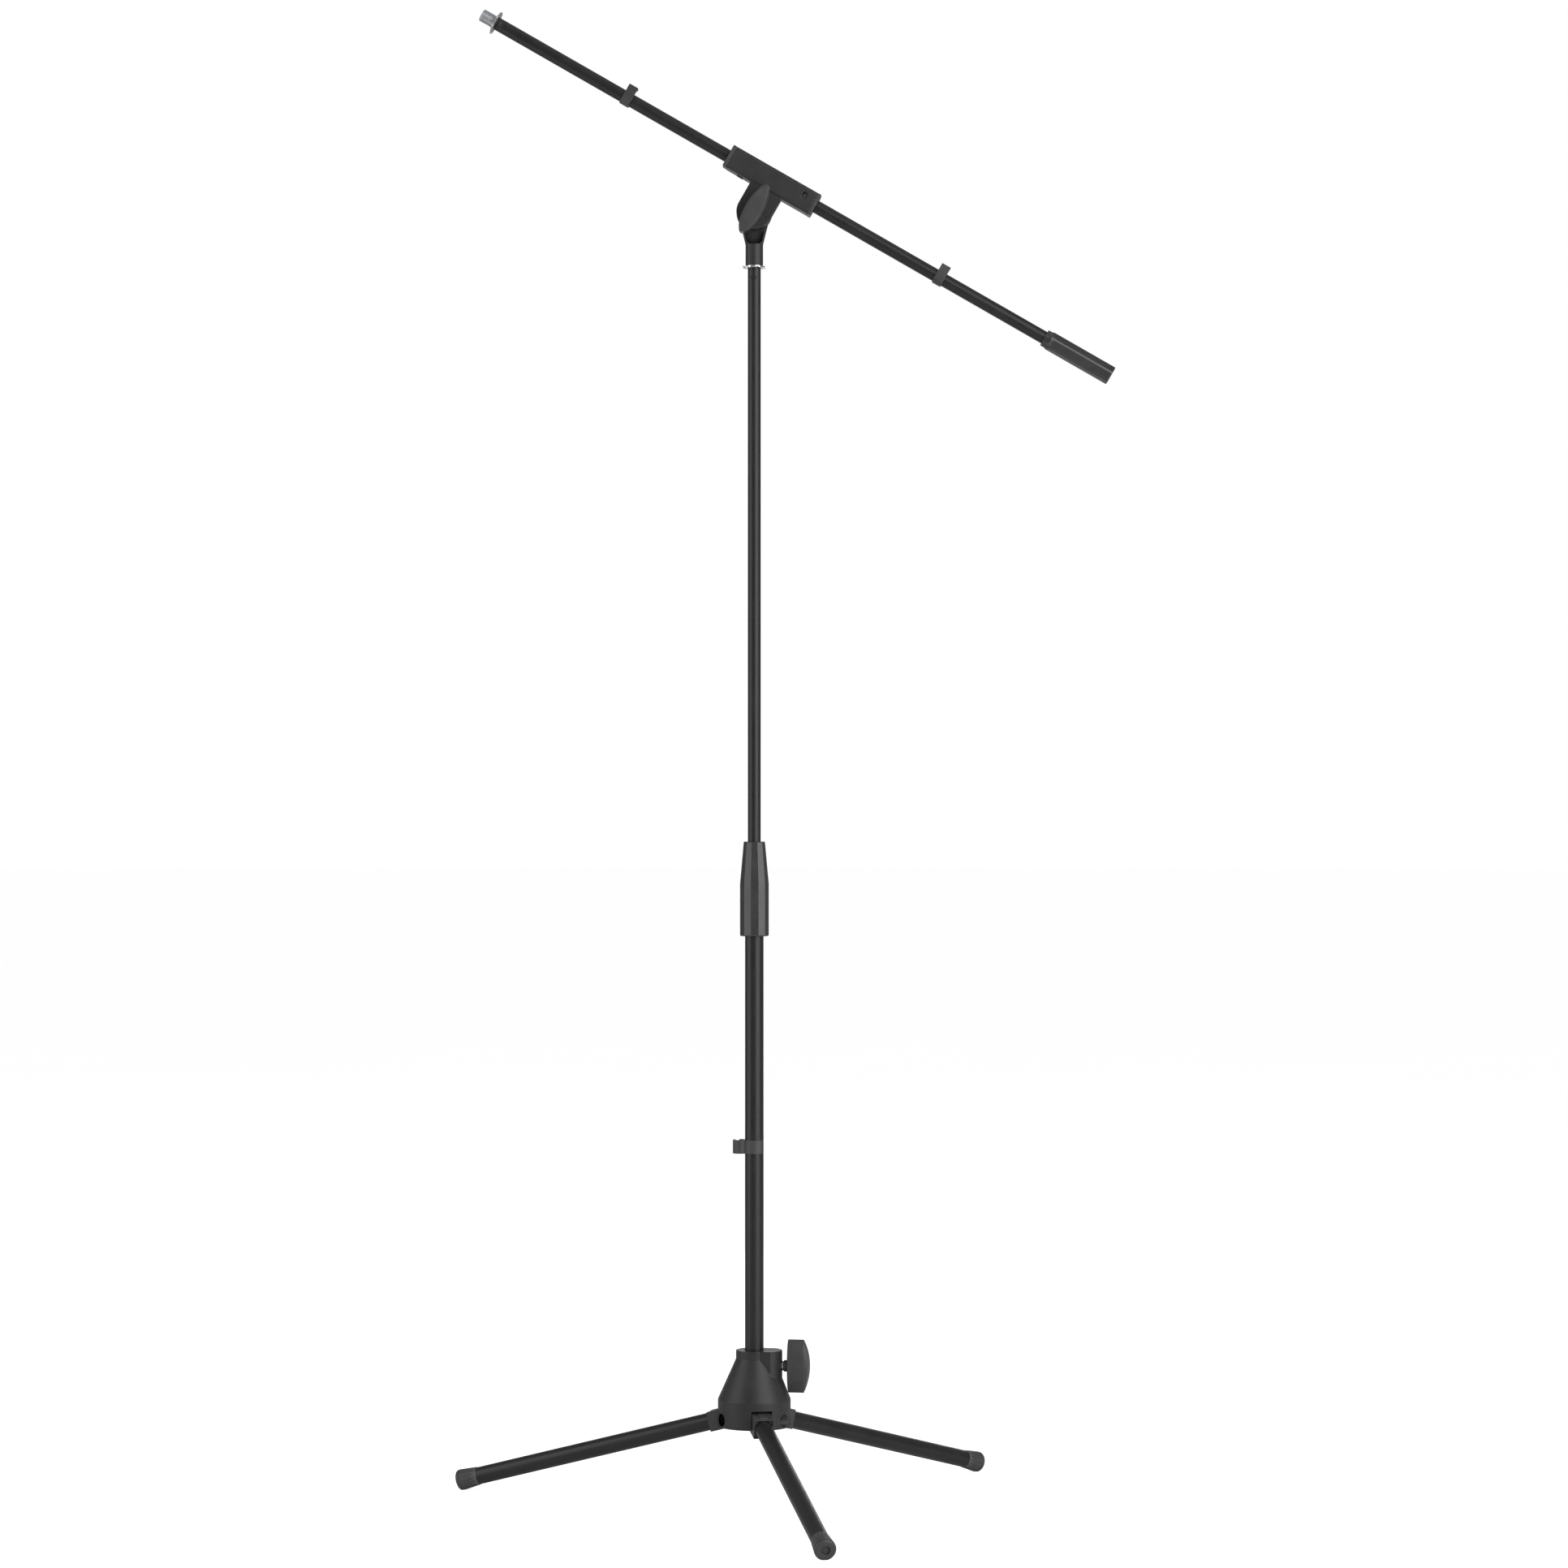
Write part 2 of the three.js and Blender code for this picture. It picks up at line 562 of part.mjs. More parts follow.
function boomClamp() {
  const { halfLength, half, sleeveRadius, sleeveLength } = clamp;
  const edge = 3.5;
  const section = rounded(half, half, [edge, edge, edge, edge]);
  const housing = alongX(extruded(section, -halfLength, halfLength, 4)).translate(0, 0, boomOffset);
  const web = block([-discRadius, tongue.front, 0], [discRadius, tongue.back, boomOffset - half + 2]);
  const end = alongY(rod(discRadius, tongue.front, tongue.back, discSides));
  const boreClear = 1.2;
  const tubeBore = alongX(rod(boomRadius + boreClear, -halfLength - past, halfLength + past));
  const seats = [-1, 1].map((side) => {
    const from = side * (halfLength - sleeveLength - 0.5);
    const [low, high] = [from, side * (halfLength + past)].sort((a, b) => a - b);
    return alongX(rod(sleeveRadius + gap, low, high));
  });
  const bore = join(tubeBore, ...seats).translate(0, 0, boomOffset);
  const screwHole = alongY(rod(screwRadius + gap, -through, through, smallSides));
  const windows = [-1, 1].map((side) => latch(side, gap, 0, half + 1).translate(0, 0, boomOffset));
  return cut(join(housing, web, end), bore, screwHole, ...windows);
}

// The latch of an end bush: to the front at the tail, and to the back at the head.
function latch(side, margin, from, to) {
  const { along, above, length, height } = windowAt;
  const x = [along - length / 2 - margin, along + length / 2 + margin].map((value) => value * side);
  const y = [-from, -to].map((value) => value * side);
  const z = [above - height / 2 - margin, above + height / 2 + margin];
  const low = [Math.min(...x), Math.min(...y), z[0]];
  const high = [Math.max(...x), Math.max(...y), z[1]];
  return block(low, high);
}

function clampBush(side) {
  const { halfLength, half, bushFlange, sleeveRadius, sleeveLength } = clamp;
  const edge = 2;
  const roundCorner = 8;
  const radii = side > 0 ? [edge, edge, edge, roundCorner] : [edge, roundCorner, edge, edge];
  const flangeAt = halfLength + gap;
  const flange = alongX(extruded(rounded(half, half, radii), flangeAt, flangeAt + bushFlange, 4));
  const sleeve = alongX(rod(sleeveRadius, halfLength - sleeveLength, halfLength + 1));
  const pair = join(flange, sleeve);
  const placed = side > 0 ? pair : pair.rotateZ(Math.PI);
  const bore = alongX(rod(boomRadius + gap, -halfLength * 2, halfLength * 2));
  return cut(join(placed, latch(side, 0, sleeveRadius - 2, half - 1)), bore);
}

piece(boomFrame, "boom_clamp", boomClamp(), castBlack);
piece(boomAxis, "clamp_bush_tail", clampBush(1), mouldedGrey);
piece(boomAxis, "clamp_bush_head", clampBush(-1), mouldedGrey);

// ---- Boom ----

const boomTube = alongX(pipe(boomRadius, boomRadius - wall, boom.head, boom.tail));
piece(boomAxis, "boom_tube", boomTube, tubeBlack);

const boomStudInTube = boomRadius - wall - gap;
const tipChamfer = 0.8;
const boomStud = turned([[0, boom.tip], [threadRadius - tipChamfer, boom.tip],
  [threadRadius, boom.tip + tipChamfer], [threadRadius, boom.head - gap],
  [boomStudInTube, boom.head - gap], [boomStudInTube, boom.head + studSink], [0, boom.head + studSink]]);
piece(boomAxis, "boom_stud", alongX(boomStud), zinc);

const boomRing = serratedRing().rotateX(Math.PI).translate(0, 0, boom.head - gap);
piece(boomAxis, "boom_lock_ring", alongX(boomRing), brightSteel);

// A snap clip round the boom, with a pocket above the tube for a cable. Its front is flat, and it opens to
// the back.
function boomCableClip(at) {
  const { width, radius, top, bevel } = boomClip;
  const half = width / 2;
  const outerLoop = top - radius;
  const pocketAt = top - boomClip.wall - boomClipPocket;
  const lift = (geometry, height) => alongX(geometry).translate(0, 0, height);
  const skirt = block([-half, -radius, 0], [half, radius, outerLoop]);
  const front = polygon([[-top, -radius], [bevel, -radius], [radius, -bevel], [radius, 0], [-top, 0]]);
  const loops = [0, outerLoop].map((height) => lift(rod(radius, -half, half), height));
  const body = join(...loops, skirt, alongX(extruded(front, -half, half)));
  const tubeHole = lift(rod(boomRadius + fit, -width, width), 0);
  const pocket = lift(rod(boomClipPocket, -width, width), pocketAt);
  const mouth = block([-width, 3, -5], [width, 2 * radius, 14.2]);
  return cut(body, tubeHole, pocket, mouth).translate(at, 0, 0);
}

piece(boomAxis, "boom_clip_head", boomCableClip(boomClip.headAt), mouldedGrey);
piece(boomAxis, "boom_clip_tail", boomCableClip(boomClip.tailAt), mouldedGrey);

function boomGrip() {
  const { radius, length, chamfer, radiusFull } = gripNeck;
  const { gripStart, gripEnd, tail } = boom;
  const bore = boomRadius + fit;
  const neckEnd = gripStart + length;
  const endEdge = 0.6;
  return alongX(turned([[bore, gripStart], [radius, gripStart], [radius, neckEnd],
    [radiusFull, neckEnd + chamfer], [radiusFull, gripEnd - endEdge], [radiusFull - endEdge, gripEnd],
    [0, gripEnd], [0, tail + gap], [bore, tail + gap]]));
}

piece(boomAxis, "boom_grip", boomGrip(), rubber);

// ---- The stand's origin: the middle of its box, on the floor ----

stand.updateMatrixWorld(true);
const bounds = new THREE.Box3().setFromObject(stand, true);
const middle = bounds.getCenter(new THREE.Vector3());
stand.position.set(-middle.x, -middle.y, 0);

export default stand;
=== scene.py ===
"""The looks of a tripod boom microphone stand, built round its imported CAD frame.

Each piece is drawn in millimetres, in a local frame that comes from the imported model: the mast's, a leg's,
a knob's or the boom's. put() turns it into metres in the row frame and rides it on its body.
"""
import json
import math
from types import SimpleNamespace as Sizes

import bmesh
import bpy
from mathutils import Matrix, Vector


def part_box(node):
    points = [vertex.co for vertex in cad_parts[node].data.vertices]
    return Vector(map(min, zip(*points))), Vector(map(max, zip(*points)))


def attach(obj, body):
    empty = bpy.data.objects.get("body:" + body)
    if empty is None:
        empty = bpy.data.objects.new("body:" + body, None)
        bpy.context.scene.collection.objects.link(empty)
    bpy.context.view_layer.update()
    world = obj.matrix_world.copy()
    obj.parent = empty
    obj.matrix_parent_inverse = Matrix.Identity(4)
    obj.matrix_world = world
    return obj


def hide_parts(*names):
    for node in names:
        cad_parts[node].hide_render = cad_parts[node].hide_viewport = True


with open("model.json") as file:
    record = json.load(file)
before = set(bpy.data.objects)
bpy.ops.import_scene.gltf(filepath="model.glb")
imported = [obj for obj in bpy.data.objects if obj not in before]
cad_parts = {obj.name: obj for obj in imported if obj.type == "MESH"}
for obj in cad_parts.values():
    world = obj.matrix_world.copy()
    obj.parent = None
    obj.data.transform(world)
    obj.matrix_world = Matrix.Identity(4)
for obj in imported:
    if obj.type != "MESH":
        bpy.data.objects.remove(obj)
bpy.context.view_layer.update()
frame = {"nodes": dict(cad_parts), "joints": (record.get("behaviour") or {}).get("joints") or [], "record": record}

# ---- Local frames, in millimetres ----

MM = 0.001
QUARTER = math.pi / 2
UP = Vector((0, 0, 1))
joints = {row["name"]: row for row in frame["joints"]}
slots = {row["node"]: row["material_slot"] for row in frame["record"]["subparts"]}


def local_frame(origin, along, up):
    """The matrix from millimetres, X along and Z up, to metres in the row frame."""
    x, z = Vector(along).normalized(), Vector(up).normalized()
    turn = Matrix((x, z.cross(x), z)).transposed().to_4x4()
    return Matrix.Translation(origin) @ turn @ Matrix.Scale(MM, 4)


def extent(node, place):
    """The lowest and highest corner of a CAD node in a local frame."""
    back = place.inverted()
    points = [back @ vertex.co for vertex in frame["nodes"][node].data.vertices]
    return [Vector([pick(values) for values in zip(*points)]) for pick in (min, max)]


mast_low, mast_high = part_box("lower_tube")
mast_foot = Vector(((mast_low.x + mast_high.x) / 2, (mast_low.y + mast_high.y) / 2, 0))
MAST = local_frame(mast_foot, (1, 0, 0), UP)

boom_along = Vector(joints["boom_slide"]["axis"])
boom_up = boom_along.cross(Vector(joints["boom_tilt"]["axis"]))
tilt_pivot = Vector(joints["boom_tilt"]["pos_m"])
boom_rise = (Vector(joints["boom_ring_turn"]["pos_m"]) - tilt_pivot).dot(boom_up)
TONGUE = local_frame(tilt_pivot, boom_along, boom_up)
BOOM = local_frame(tilt_pivot + boom_up * boom_rise, boom_along, boom_up)

# A knob's frame has Z along its screw, outwards, and X along its paddle.
base_screw_at = Vector(joints["base_knob_turn"]["pos_m"])
BASE_KNOB = local_frame(base_screw_at, -UP, joints["base_knob_turn"]["axis"])
TILT_KNOB = local_frame(tilt_pivot, boom_up, joints["tilt_knob_turn"]["axis"])

leg_slope = math.radians(15)
sides = ("front", "right", "left")


def leg_outwards(side):
    return Vector(joints["leg_fold_" + side]["axis"]).cross(UP)


def leg_frame(side):
    """X runs from the pivot along the leg."""
    out = leg_outwards(side)
    along = out * math.cos(leg_slope) - UP * math.sin(leg_slope)
    up = out * math.sin(leg_slope) + UP * math.cos(leg_slope)
    return local_frame(joints["leg_fold_" + side]["pos_m"], along, up)


# ---- Driving sizes, in millimetres ----

gap = 0.3
tube_wall = 1.3
screw = Sizes(radius=3, pitch=1.0, depth=0.35, washer=5.8)
shoe = Sizes(radius=6.2, depth=15.1)
nut = Sizes(across=5.7, pocket=6.1)
stud = Sizes(radius=7.94, pitch=25.4 / 27, depth=0.55)
hub = Sizes(rim=131, cone_top=180.7, neck=22.6, skin=4, cavity_top=148, core=17.5)
slot = Sizes(width=25.5, top=120.7, inner=19.5, cheek=4.5)
boss = Sizes(half_width=20, reach=34.8, round=23.5, pad=7.2, bottom=156, foot_angle=42)
pin = Sizes(radius=4, head=5.9, head_height=3.5, boss=10.4, boss_reach=33, oval_height=7.9, oval_width=6.3)
bracket = Sizes(half_width=12, half_height=12.25, length=24.3, rim=1.3, recess=1.5, socket=7.5)
foot = Sizes(mouth=11.4, full=13.1, round=3.6, groove=0.55, recess=5.2, recess_depth=2, end_wall=5, flutes=16)
paddle = Sizes(half_length=32.75, half_width=11, side=19.8, crown=6.2, shoulder=2.4, back_edge=1.3,
               neck=7.15, neck_length=5.3, bore=14)
clip = Sizes(wall=1.4, loop=9.4, loop_x=-17.1, loop_y=1.5, loop_wall=1.8, mouth=10.3, slit=118, half_slit=3)
clutch = Sizes(radius=18.3, top=13.5, shoulder=765.8, sides=12, first=math.radians(-12), play=0.4)
knuckle = Sizes(collar=10.8, collar_top=1556.3, disc=22, front=1, back=11.5, depth=10.8)
recess = Sizes(half=10.4, radius=6.6, bottom=1553, rim=1.9, rim_top=1569.8)
tongue = Sizes(front=-13, back=-1, radius=22)
clamp = Sizes(half_length=57, half=14.5, edge=3.5, sleeve=11, sleeve_length=30, flange=4.7, mark_x=14.3)
window = Sizes(along=43.8, above=3.1, length=5.6, height=8)
ring = Sizes(radius=14.8, root=13, teeth=20, thickness=2, shoulder=10.8)
boom_clip = Sizes(radius=9.8, top=16.45, bevel=5, wall=1.85, pocket=6.3,
                  mouth_y=3, mouth_low=-5, mouth_high=14.2)
grip = Sizes(neck=10.8, neck_length=5, chamfer=3, full=11.8, panels=6, panel_depth=0.95, panel_share=0.78)
dimple = Sizes(depth=0.7, along=1.6)

# ---- Mesh helpers ----


def skin(name, rings, closed=False):
    """A mesh through rings of points. A ring of one point is a pole, and an open row of rings is capped."""
    points, starts, faces = [], [], []
    for loop in rings:
        starts.append(len(points))
        points.extend(loop)
    pairs = list(zip(range(len(rings)), range(1, len(rings))))
    if closed:
        pairs.append((len(rings) - 1, 0))
    for a, b in pairs:
        count = max(len(rings[a]), len(rings[b]))
        for k in range(count):
            corners = [(a, k), (a, k + 1), (b, k + 1), (b, k)]
            face = list(dict.fromkeys(starts[r] + index % len(rings[r]) for r, index in corners))
            if len(face) > 2:
                faces.append(face)
    if not closed:
        for index in (0, len(rings) - 1):
            if len(rings[index]) > 1:
                faces.append([starts[index] + k for k in range(len(rings[index]))])
    mesh = bpy.data.meshes.new(name)
    mesh.from_pydata(points, [], faces)
    shape = bmesh.new()
    shape.from_mesh(mesh)
    bmesh.ops.recalc_face_normals(shape, faces=shape.faces)
    shape.to_mesh(mesh)
    shape.free()
    obj = bpy.data.objects.new(name, mesh)
    bpy.context.scene.collection.objects.link(obj)
    return obj


def softened(points, radius, keep=(), steps=3):
    """The closed outline with its corners rounded to a radius, or to what the sides beside them allow.
    Corners whose index is in keep stay sharp; callers list those on a lathe's axis there."""
    soft = []
    for k, point in enumerate(points):
        here = Vector(point)
        back = Vector(points[k - 1]) - here
        ahead = Vector(points[(k + 1) % len(points)]) - here
        size = radius[k] if isinstance(radius, (list, tuple)) else radius
        size = min(size, back.length * 0.45, ahead.length * 0.45)
        if k in keep or size < 1e-6:
            soft.append(tuple(here))
            continue
        start, end = here + back.normalized() * size, here + ahead.normalized() * size
        for step in range(steps + 1):
            t = step / steps
            soft.append(tuple(start * (1 - t) ** 2 + here * 2 * t * (1 - t) + end * t * t))
    return soft


def lathe(profile, count=96, change=None):
    """A profile of (radius, height) turned about Z. It starts and ends on the axis, or closes on itself.
    change(angle, radius, height) may vary the radius round the piece."""
    closed = profile[0][0] > 0 or profile[-1][0] > 0
    angles = [math.tau * k / count for k in range(count)]
    rings = []
    for radius, height in profile:
        if radius <= 1e-9:
            rings.append([(0, 0, height)])
            continue
        radii = [change(angle, radius, height) if change else radius for angle in angles]
        rings.append([(r * math.cos(a), r * math.sin(a), height) for r, a in zip(radii, angles)])
    return skin("turned", rings, closed)


def rod(radius, low, high, count=96, edge=0.0):
    profile = softened([(0, low), (radius, low), (radius, high), (0, high)], edge, keep=(0, 3))
    return lathe(profile, count)


def inset(outline, distance):
    """An anticlockwise outline moved inwards."""
    moved = []
    for k, point in enumerate(outline):
        here = Vector(point)
        arriving = (here - Vector(outline[k - 1])).normalized()
        leaving = (Vector(outline[(k + 1) % len(outline)]) - here).normalized()
        left, right = Vector((-arriving.y, arriving.x)), Vector((-leaving.y, leaving.x))
        moved.append(here + (left + right) * distance / max(1 + left.dot(right), 0.2))
    return moved


def rim_rings(outline, level, edge, inwards, steps=4):
    """Rings that round an outline's rim: inwards is +1 for a rim at the low end and -1 at the high end."""
    rings = []
    for step in range(steps + 1):
        angle = QUARTER * step / steps
        height = level + inwards * edge * (1 - math.cos(angle))
        loop = inset(outline, edge * (1 - math.sin(angle)))
        rings.append([(x, y, height) for x, y in loop])
    return rings if inwards > 0 else rings[::-1]


def prism(outline, low, high, edge=0.0):
    """An anticlockwise outline in X and Y raised along Z, with its rims rounded."""
    if not edge:
        return skin("prism", [[(x, y, height) for x, y in outline] for height in (low, high)])
    return skin("prism", rim_rings(outline, low, edge, 1) + rim_rings(outline, high, edge, -1))


def box(low, high):
    outline = [(low[0], low[1]), (high[0], low[1]), (high[0], high[1]), (low[0], high[1])]
    return prism(outline, low[2], high[2])


def arc(radius, start, end, steps, centre=(0, 0)):
    angles = [math.radians(start + (end - start) * k / steps) for k in range(steps + 1)]
    return [(centre[0] + radius * math.cos(a), centre[1] + radius * math.sin(a)) for a in angles]


def turned(obj, angle, axis):
    obj.data.transform(Matrix.Rotation(angle, 4, axis))
    return obj


def along_x(obj):
    """Lays a shape made along Z along X. Its own X then points to -Z."""
    return turned(obj, QUARTER, "Y")


def along_y(obj):
    """Lays a shape made along Z along Y. Its own Y then points to -Z."""
    return turned(obj, -QUARTER, "X")


def moved(obj, x=0.0, y=0.0, z=0.0):
    obj.data.transform(Matrix.Translation((x, y, z)))
    return obj


def settle(obj):
    """Applies the modifiers."""
    graph = bpy.context.evaluated_depsgraph_get()
    done = bpy.data.meshes.new_from_object(obj.evaluated_get(graph))
    obj.modifiers.clear()
    obj.data = done
    return obj


def boolean(operation, body, tools):
    for tool in tools:
        step = body.modifiers.new("step", "BOOLEAN")
        step.operation = operation
        step.object = tool
        step.solver = "MANIFOLD"
        settle(body)
        bpy.data.objects.remove(tool)
    return body


def join(body, *tools):
    return boolean("UNION", body, tools)


def cut(body, *tools):
    return boolean("DIFFERENCE", body, tools)


def common(body, *tools):
    return boolean("INTERSECT", body, tools)


def cast(obj, grain, rounds, keep):
    """Rounds edges and inside corners as casting and moulding leave them: an even mesh, smoothed, then
    thinned to the share to keep."""
    even = obj.modifiers.new("even", "REMESH")
    even.mode = "VOXEL"
    even.voxel_size = grain
    soft = obj.modifiers.new("soft", "SMOOTH")
    soft.factor = 0.5
    soft.iterations = rounds
    thin = obj.modifiers.new("thin", "DECIMATE")
    thin.ratio = keep
    return settle(obj)


def bevelled(obj, width, angle=20, segments=3):
    bevel = obj.modifiers.new("bevel", "BEVEL")
    bevel.width = width
    bevel.segments = segments
    bevel.limit_method = "ANGLE"
    bevel.angle_limit = math.radians(angle)
    return settle(obj)


# ---- Materials ----


class Shader:
    """A Principled material whose nodes are added one at a time."""

    def __init__(self, name, **values):
        self.material = bpy.data.materials.new(name)
        self.material.use_nodes = True
        self.tree = self.material.node_tree
        self.principled = self.tree.nodes["Principled BSDF"]
        for socket, value in values.items():
            self.principled.inputs[socket.replace("_", " ")].default_value = value
        self.where = self.tree.nodes.new("ShaderNodeTexCoord").outputs["Object"]

    def noise(self, scale, detail=2.0, roughness=0.5, stretch=None):
        """Noise in the piece's own metres."""
        node = self.tree.nodes.new("ShaderNodeTexNoise")
        node.inputs["Scale"].default_value = scale
        node.inputs["Detail"].default_value = detail
        node.inputs["Roughness"].default_value = roughness
        source = self.where
        if stretch:
            mapping = self.tree.nodes.new("ShaderNodeMapping")
            mapping.inputs["Scale"].default_value = stretch
            self.tree.links.new(source, mapping.inputs["Vector"])
            source = mapping.outputs["Vector"]
        self.tree.links.new(source, node.inputs["Vector"])
        return node.outputs["Fac"]

    def ranged(self, value, low, high, to_low, to_high):
        node = self.tree.nodes.new("ShaderNodeMapRange")
        limits = {"From Min": low, "From Max": high, "To Min": to_low, "To Max": to_high}
        for socket, number in limits.items():
            node.inputs[socket].default_value = number
        self.tree.links.new(value, node.inputs["Value"])
        return node.outputs["Result"]

    def blend(self, factor, first, second):
        """Mixes two colours, or a colour with what is already mixed."""
        node = self.tree.nodes.new("ShaderNodeMix")
        node.data_type = "RGBA"
        self.tree.links.new(factor, node.inputs["Factor"])
        for socket, colour in ((node.inputs[6], first), (node.inputs[7], second)):
            if isinstance(colour, bpy.types.NodeSocket):
                self.tree.links.new(colour, socket)
            else:
                socket.default_value = (*colour, 1)
        return node.outputs[2]

    def occluded(self, reach, inside):
        """How free the surface is within a reach: outwards shows recesses, inwards shows convex edges."""
        node = self.tree.nodes.new("ShaderNodeAmbientOcclusion")
        node.only_local = True
        node.inside = inside
        node.samples = 6
        node.inputs["Distance"].default_value = reach
        return node.outputs["AO"]

    def edges(self, reach):
        """0 on the flats to 1 on a convex edge."""
        return self.ranged(self.occluded(reach, True), 0.8, 0.45, 0, 1)

    def openness(self, reach):
        """0 deep in a recess to 1 in the open."""
        return self.ranged(self.occluded(reach, False), 0.35, 0.85, 0, 1)

    def bump(self, height, distance):
        node = self.tree.nodes.new("ShaderNodeBump")
        node.inputs["Distance"].default_value = distance
        self.tree.links.new(height, node.inputs["Height"])
        self.tree.links.new(node.outputs["Normal"], self.principled.inputs["Normal"])

    def drive(self, socket, value):
        self.tree.links.new(value, self.principled.inputs[socket])


def grey(level, tint=0.0):
    """A grey, or a slightly blue one."""
    return (level, level * (1 + tint * 0.5), level * (1 + tint))


def coated(name, level, roughness, grain, depth, wear_and_highlight_tone, gloss=0.5):
    """A surface with an even fine grain and faint clouds in tone and gloss. Its convex edges are lighter, partly
    as edge wear and partly as a painted edge highlight, and its recesses get painted shade: darker colour and less
    gloss.
    """
    made = Shader(name)
    clouds = made.noise(38, 4, 0.6)
    fine = made.noise(grain, 3, 0.55)
    base = made.blend(made.ranged(clouds, 0.35, 0.65, 0, 1), grey(level * 0.88), grey(level * 1.12))
    speckled = made.blend(made.ranged(fine, 0.45, 0.75, 0, 0.35), base, grey(level * 1.5))
    # Lighter convex edges: partly edge wear from rubbing, partly a painted edge highlight.
    wear_and_highlight_edges = made.blend(made.edges(0.0007), speckled, grey(wear_and_highlight_tone))
    # Painted shade: deep in a recess the base colour darkens to 12 percent of its tone and the gloss drops, where
    # shade falls.
    openness = made.openness(0.012)
    made.drive("Base Color", made.blend(openness, grey(level * 0.12), wear_and_highlight_edges))
    made.drive("Specular IOR Level", made.ranged(openness, 0, 1, 0.04, gloss))
    made.drive("Roughness", made.ranged(clouds, 0.3, 0.7, roughness - 0.05, roughness + 0.05))
    made.bump(fine, depth)
    return made.material


def plated(name, level, roughness, tint, streaks):
    """Plated metal, with fine drawn lines and faint clouds in its gloss."""
    made = Shader(name, Metallic=1.0)
    clouds = made.noise(120, 4, 0.6)
    lines = made.noise(900, 3, 0.6, streaks)
    cloudy = made.ranged(clouds, 0.35, 0.65, 0, 1)
    made.drive("Base Color", made.blend(cloudy, grey(level * 0.9, tint), grey(level * 1.05, tint)))
    made.drive("Roughness", made.ranged(lines, 0.3, 0.7, roughness - 0.06, roughness + 0.08))
    made.bump(lines, 0.00001)
    return made.material


finishes = {
    "tube_black": coated("satin_black_tube", 0.02, 0.32, 1500, 0.00002, 0.035),
    "cast_black": coated("black_powder_coat", 0.034, 0.42, 1100, 0.00004, 0.07),
    "moulded_grey": coated("dark_moulded_nylon", 0.068, 0.38, 1900, 0.000025, 0.12),
    "rubber_grey": coated("dark_grey_rubber", 0.034, 0.27, 2400, 0.00002, 0.09, 0.95),
    "bright_steel": plated("bright_plated_steel", 0.85, 0.2, 0.01, (1, 1, 0.2)),
    "zinc": plated("dull_zinc_plate", 0.66, 0.45, 0.05, (1, 1, 0.2)),
}
foot_rubber = coated("grey_foot_rubber", 0.07, 0.42, 2400, 0.00002, 0.13)
# Painted shade: the hinge pins get near-black steel so that their holes read dark, as shade does.
pin_shade_steel = plated("pin_painted_shade_steel", 0.012, 0.5, 0.0, (1, 1, 0.2))


def put(obj, node, body, place, sharp=35, finish=None):
    """Turns a finished shape into the piece that stands for a CAD node."""
    obj.data.transform(place)
    obj.name = obj.data.name = node + "_detail"
    obj.data.shade_smooth()
    obj.data.set_sharp_from_angle(angle=math.radians(sharp))
    flats = obj.modifiers.new("flats", "WEIGHTED_NORMAL")
    flats.keep_sharp = True
    obj.data.materials.clear()
    obj.data.materials.append(finish or finishes[slots[node]])
    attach(obj, body)
    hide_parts(node)
    return obj


def copied(obj):
    twin = obj.copy()
    twin.data = obj.data.copy()
    bpy.context.scene.collection.objects.link(twin)
    return twin


# ---- Base: hub ----


def clamp_boss(top):
    """The upright boss that takes the screw, with a drafted foot that blends it into the hub's rim."""
    half, turn = boss.half_width, math.degrees(math.asin(boss.half_width / boss.round))
    outline = [(0, -half), *arc(boss.round, -turn, turn, 24, (boss.reach - boss.round, 0)), (0, half)]
    upright = prism(outline, boss.bottom, top)
    pad = moved(along_x(rod(boss.pad, boss.reach - 2, boss.reach, 48)), 0, 0, base_screw_at.z / MM)
    rim = [(a, b, hub.rim) for a, b in arc(hub.radius, -boss.foot_angle, boss.foot_angle, 24)]
    shape = bmesh.new()
    for point in rim + [(a, b, boss.bottom + 1) for a, b in outline]:
        shape.verts.new(point)
    bmesh.ops.convex_hull(shape, input=shape.verts)
    drafted = box((0, 0, 0), (1, 1, 1))
    shape.to_mesh(drafted.data)
    shape.free()
    return join(upright, drafted, pad)


def leg_mounting(angle):
    """Cheeks and roof round a leg's slot, and the boss that its pin goes into."""
    half = slot.width / 2 + slot.cheek
    walls = box((slot.inner - 5, -half, hub.bottom), (hub.radius - 2, half, slot.top + slot.cheek))
    round_pin = moved(along_y(rod(pin.boss, half - 1, pin.boss_reach, 48)), hub.pivot_out, 0, hub.pivot_up)
    return turned(join(walls, round_pin), angle, "Z")


def leg_slot(angle):
    half = slot.width / 2
    return turned(box((slot.inner, -half, hub.bottom - 5), (hub.radius + 8, half, slot.top)), angle, "Z")


def pin_hole(angle):
    """A blind hole for the pin, with an upright oval for its head."""
    face = slot.width / 2 + slot.cheek
    hole = along_y(rod(pin.radius + gap, 1.5 - face, face + 2, 32))
    oval = along_y(rod(pin.oval_height, face, 60, 64))
    oval.data.transform(Matrix.Scale(pin.oval_width / pin.oval_height, 4, (1, 0, 0)))
    return turned(moved(join(hole, oval), hub.pivot_out, 0, hub.pivot_up), angle, "Z")


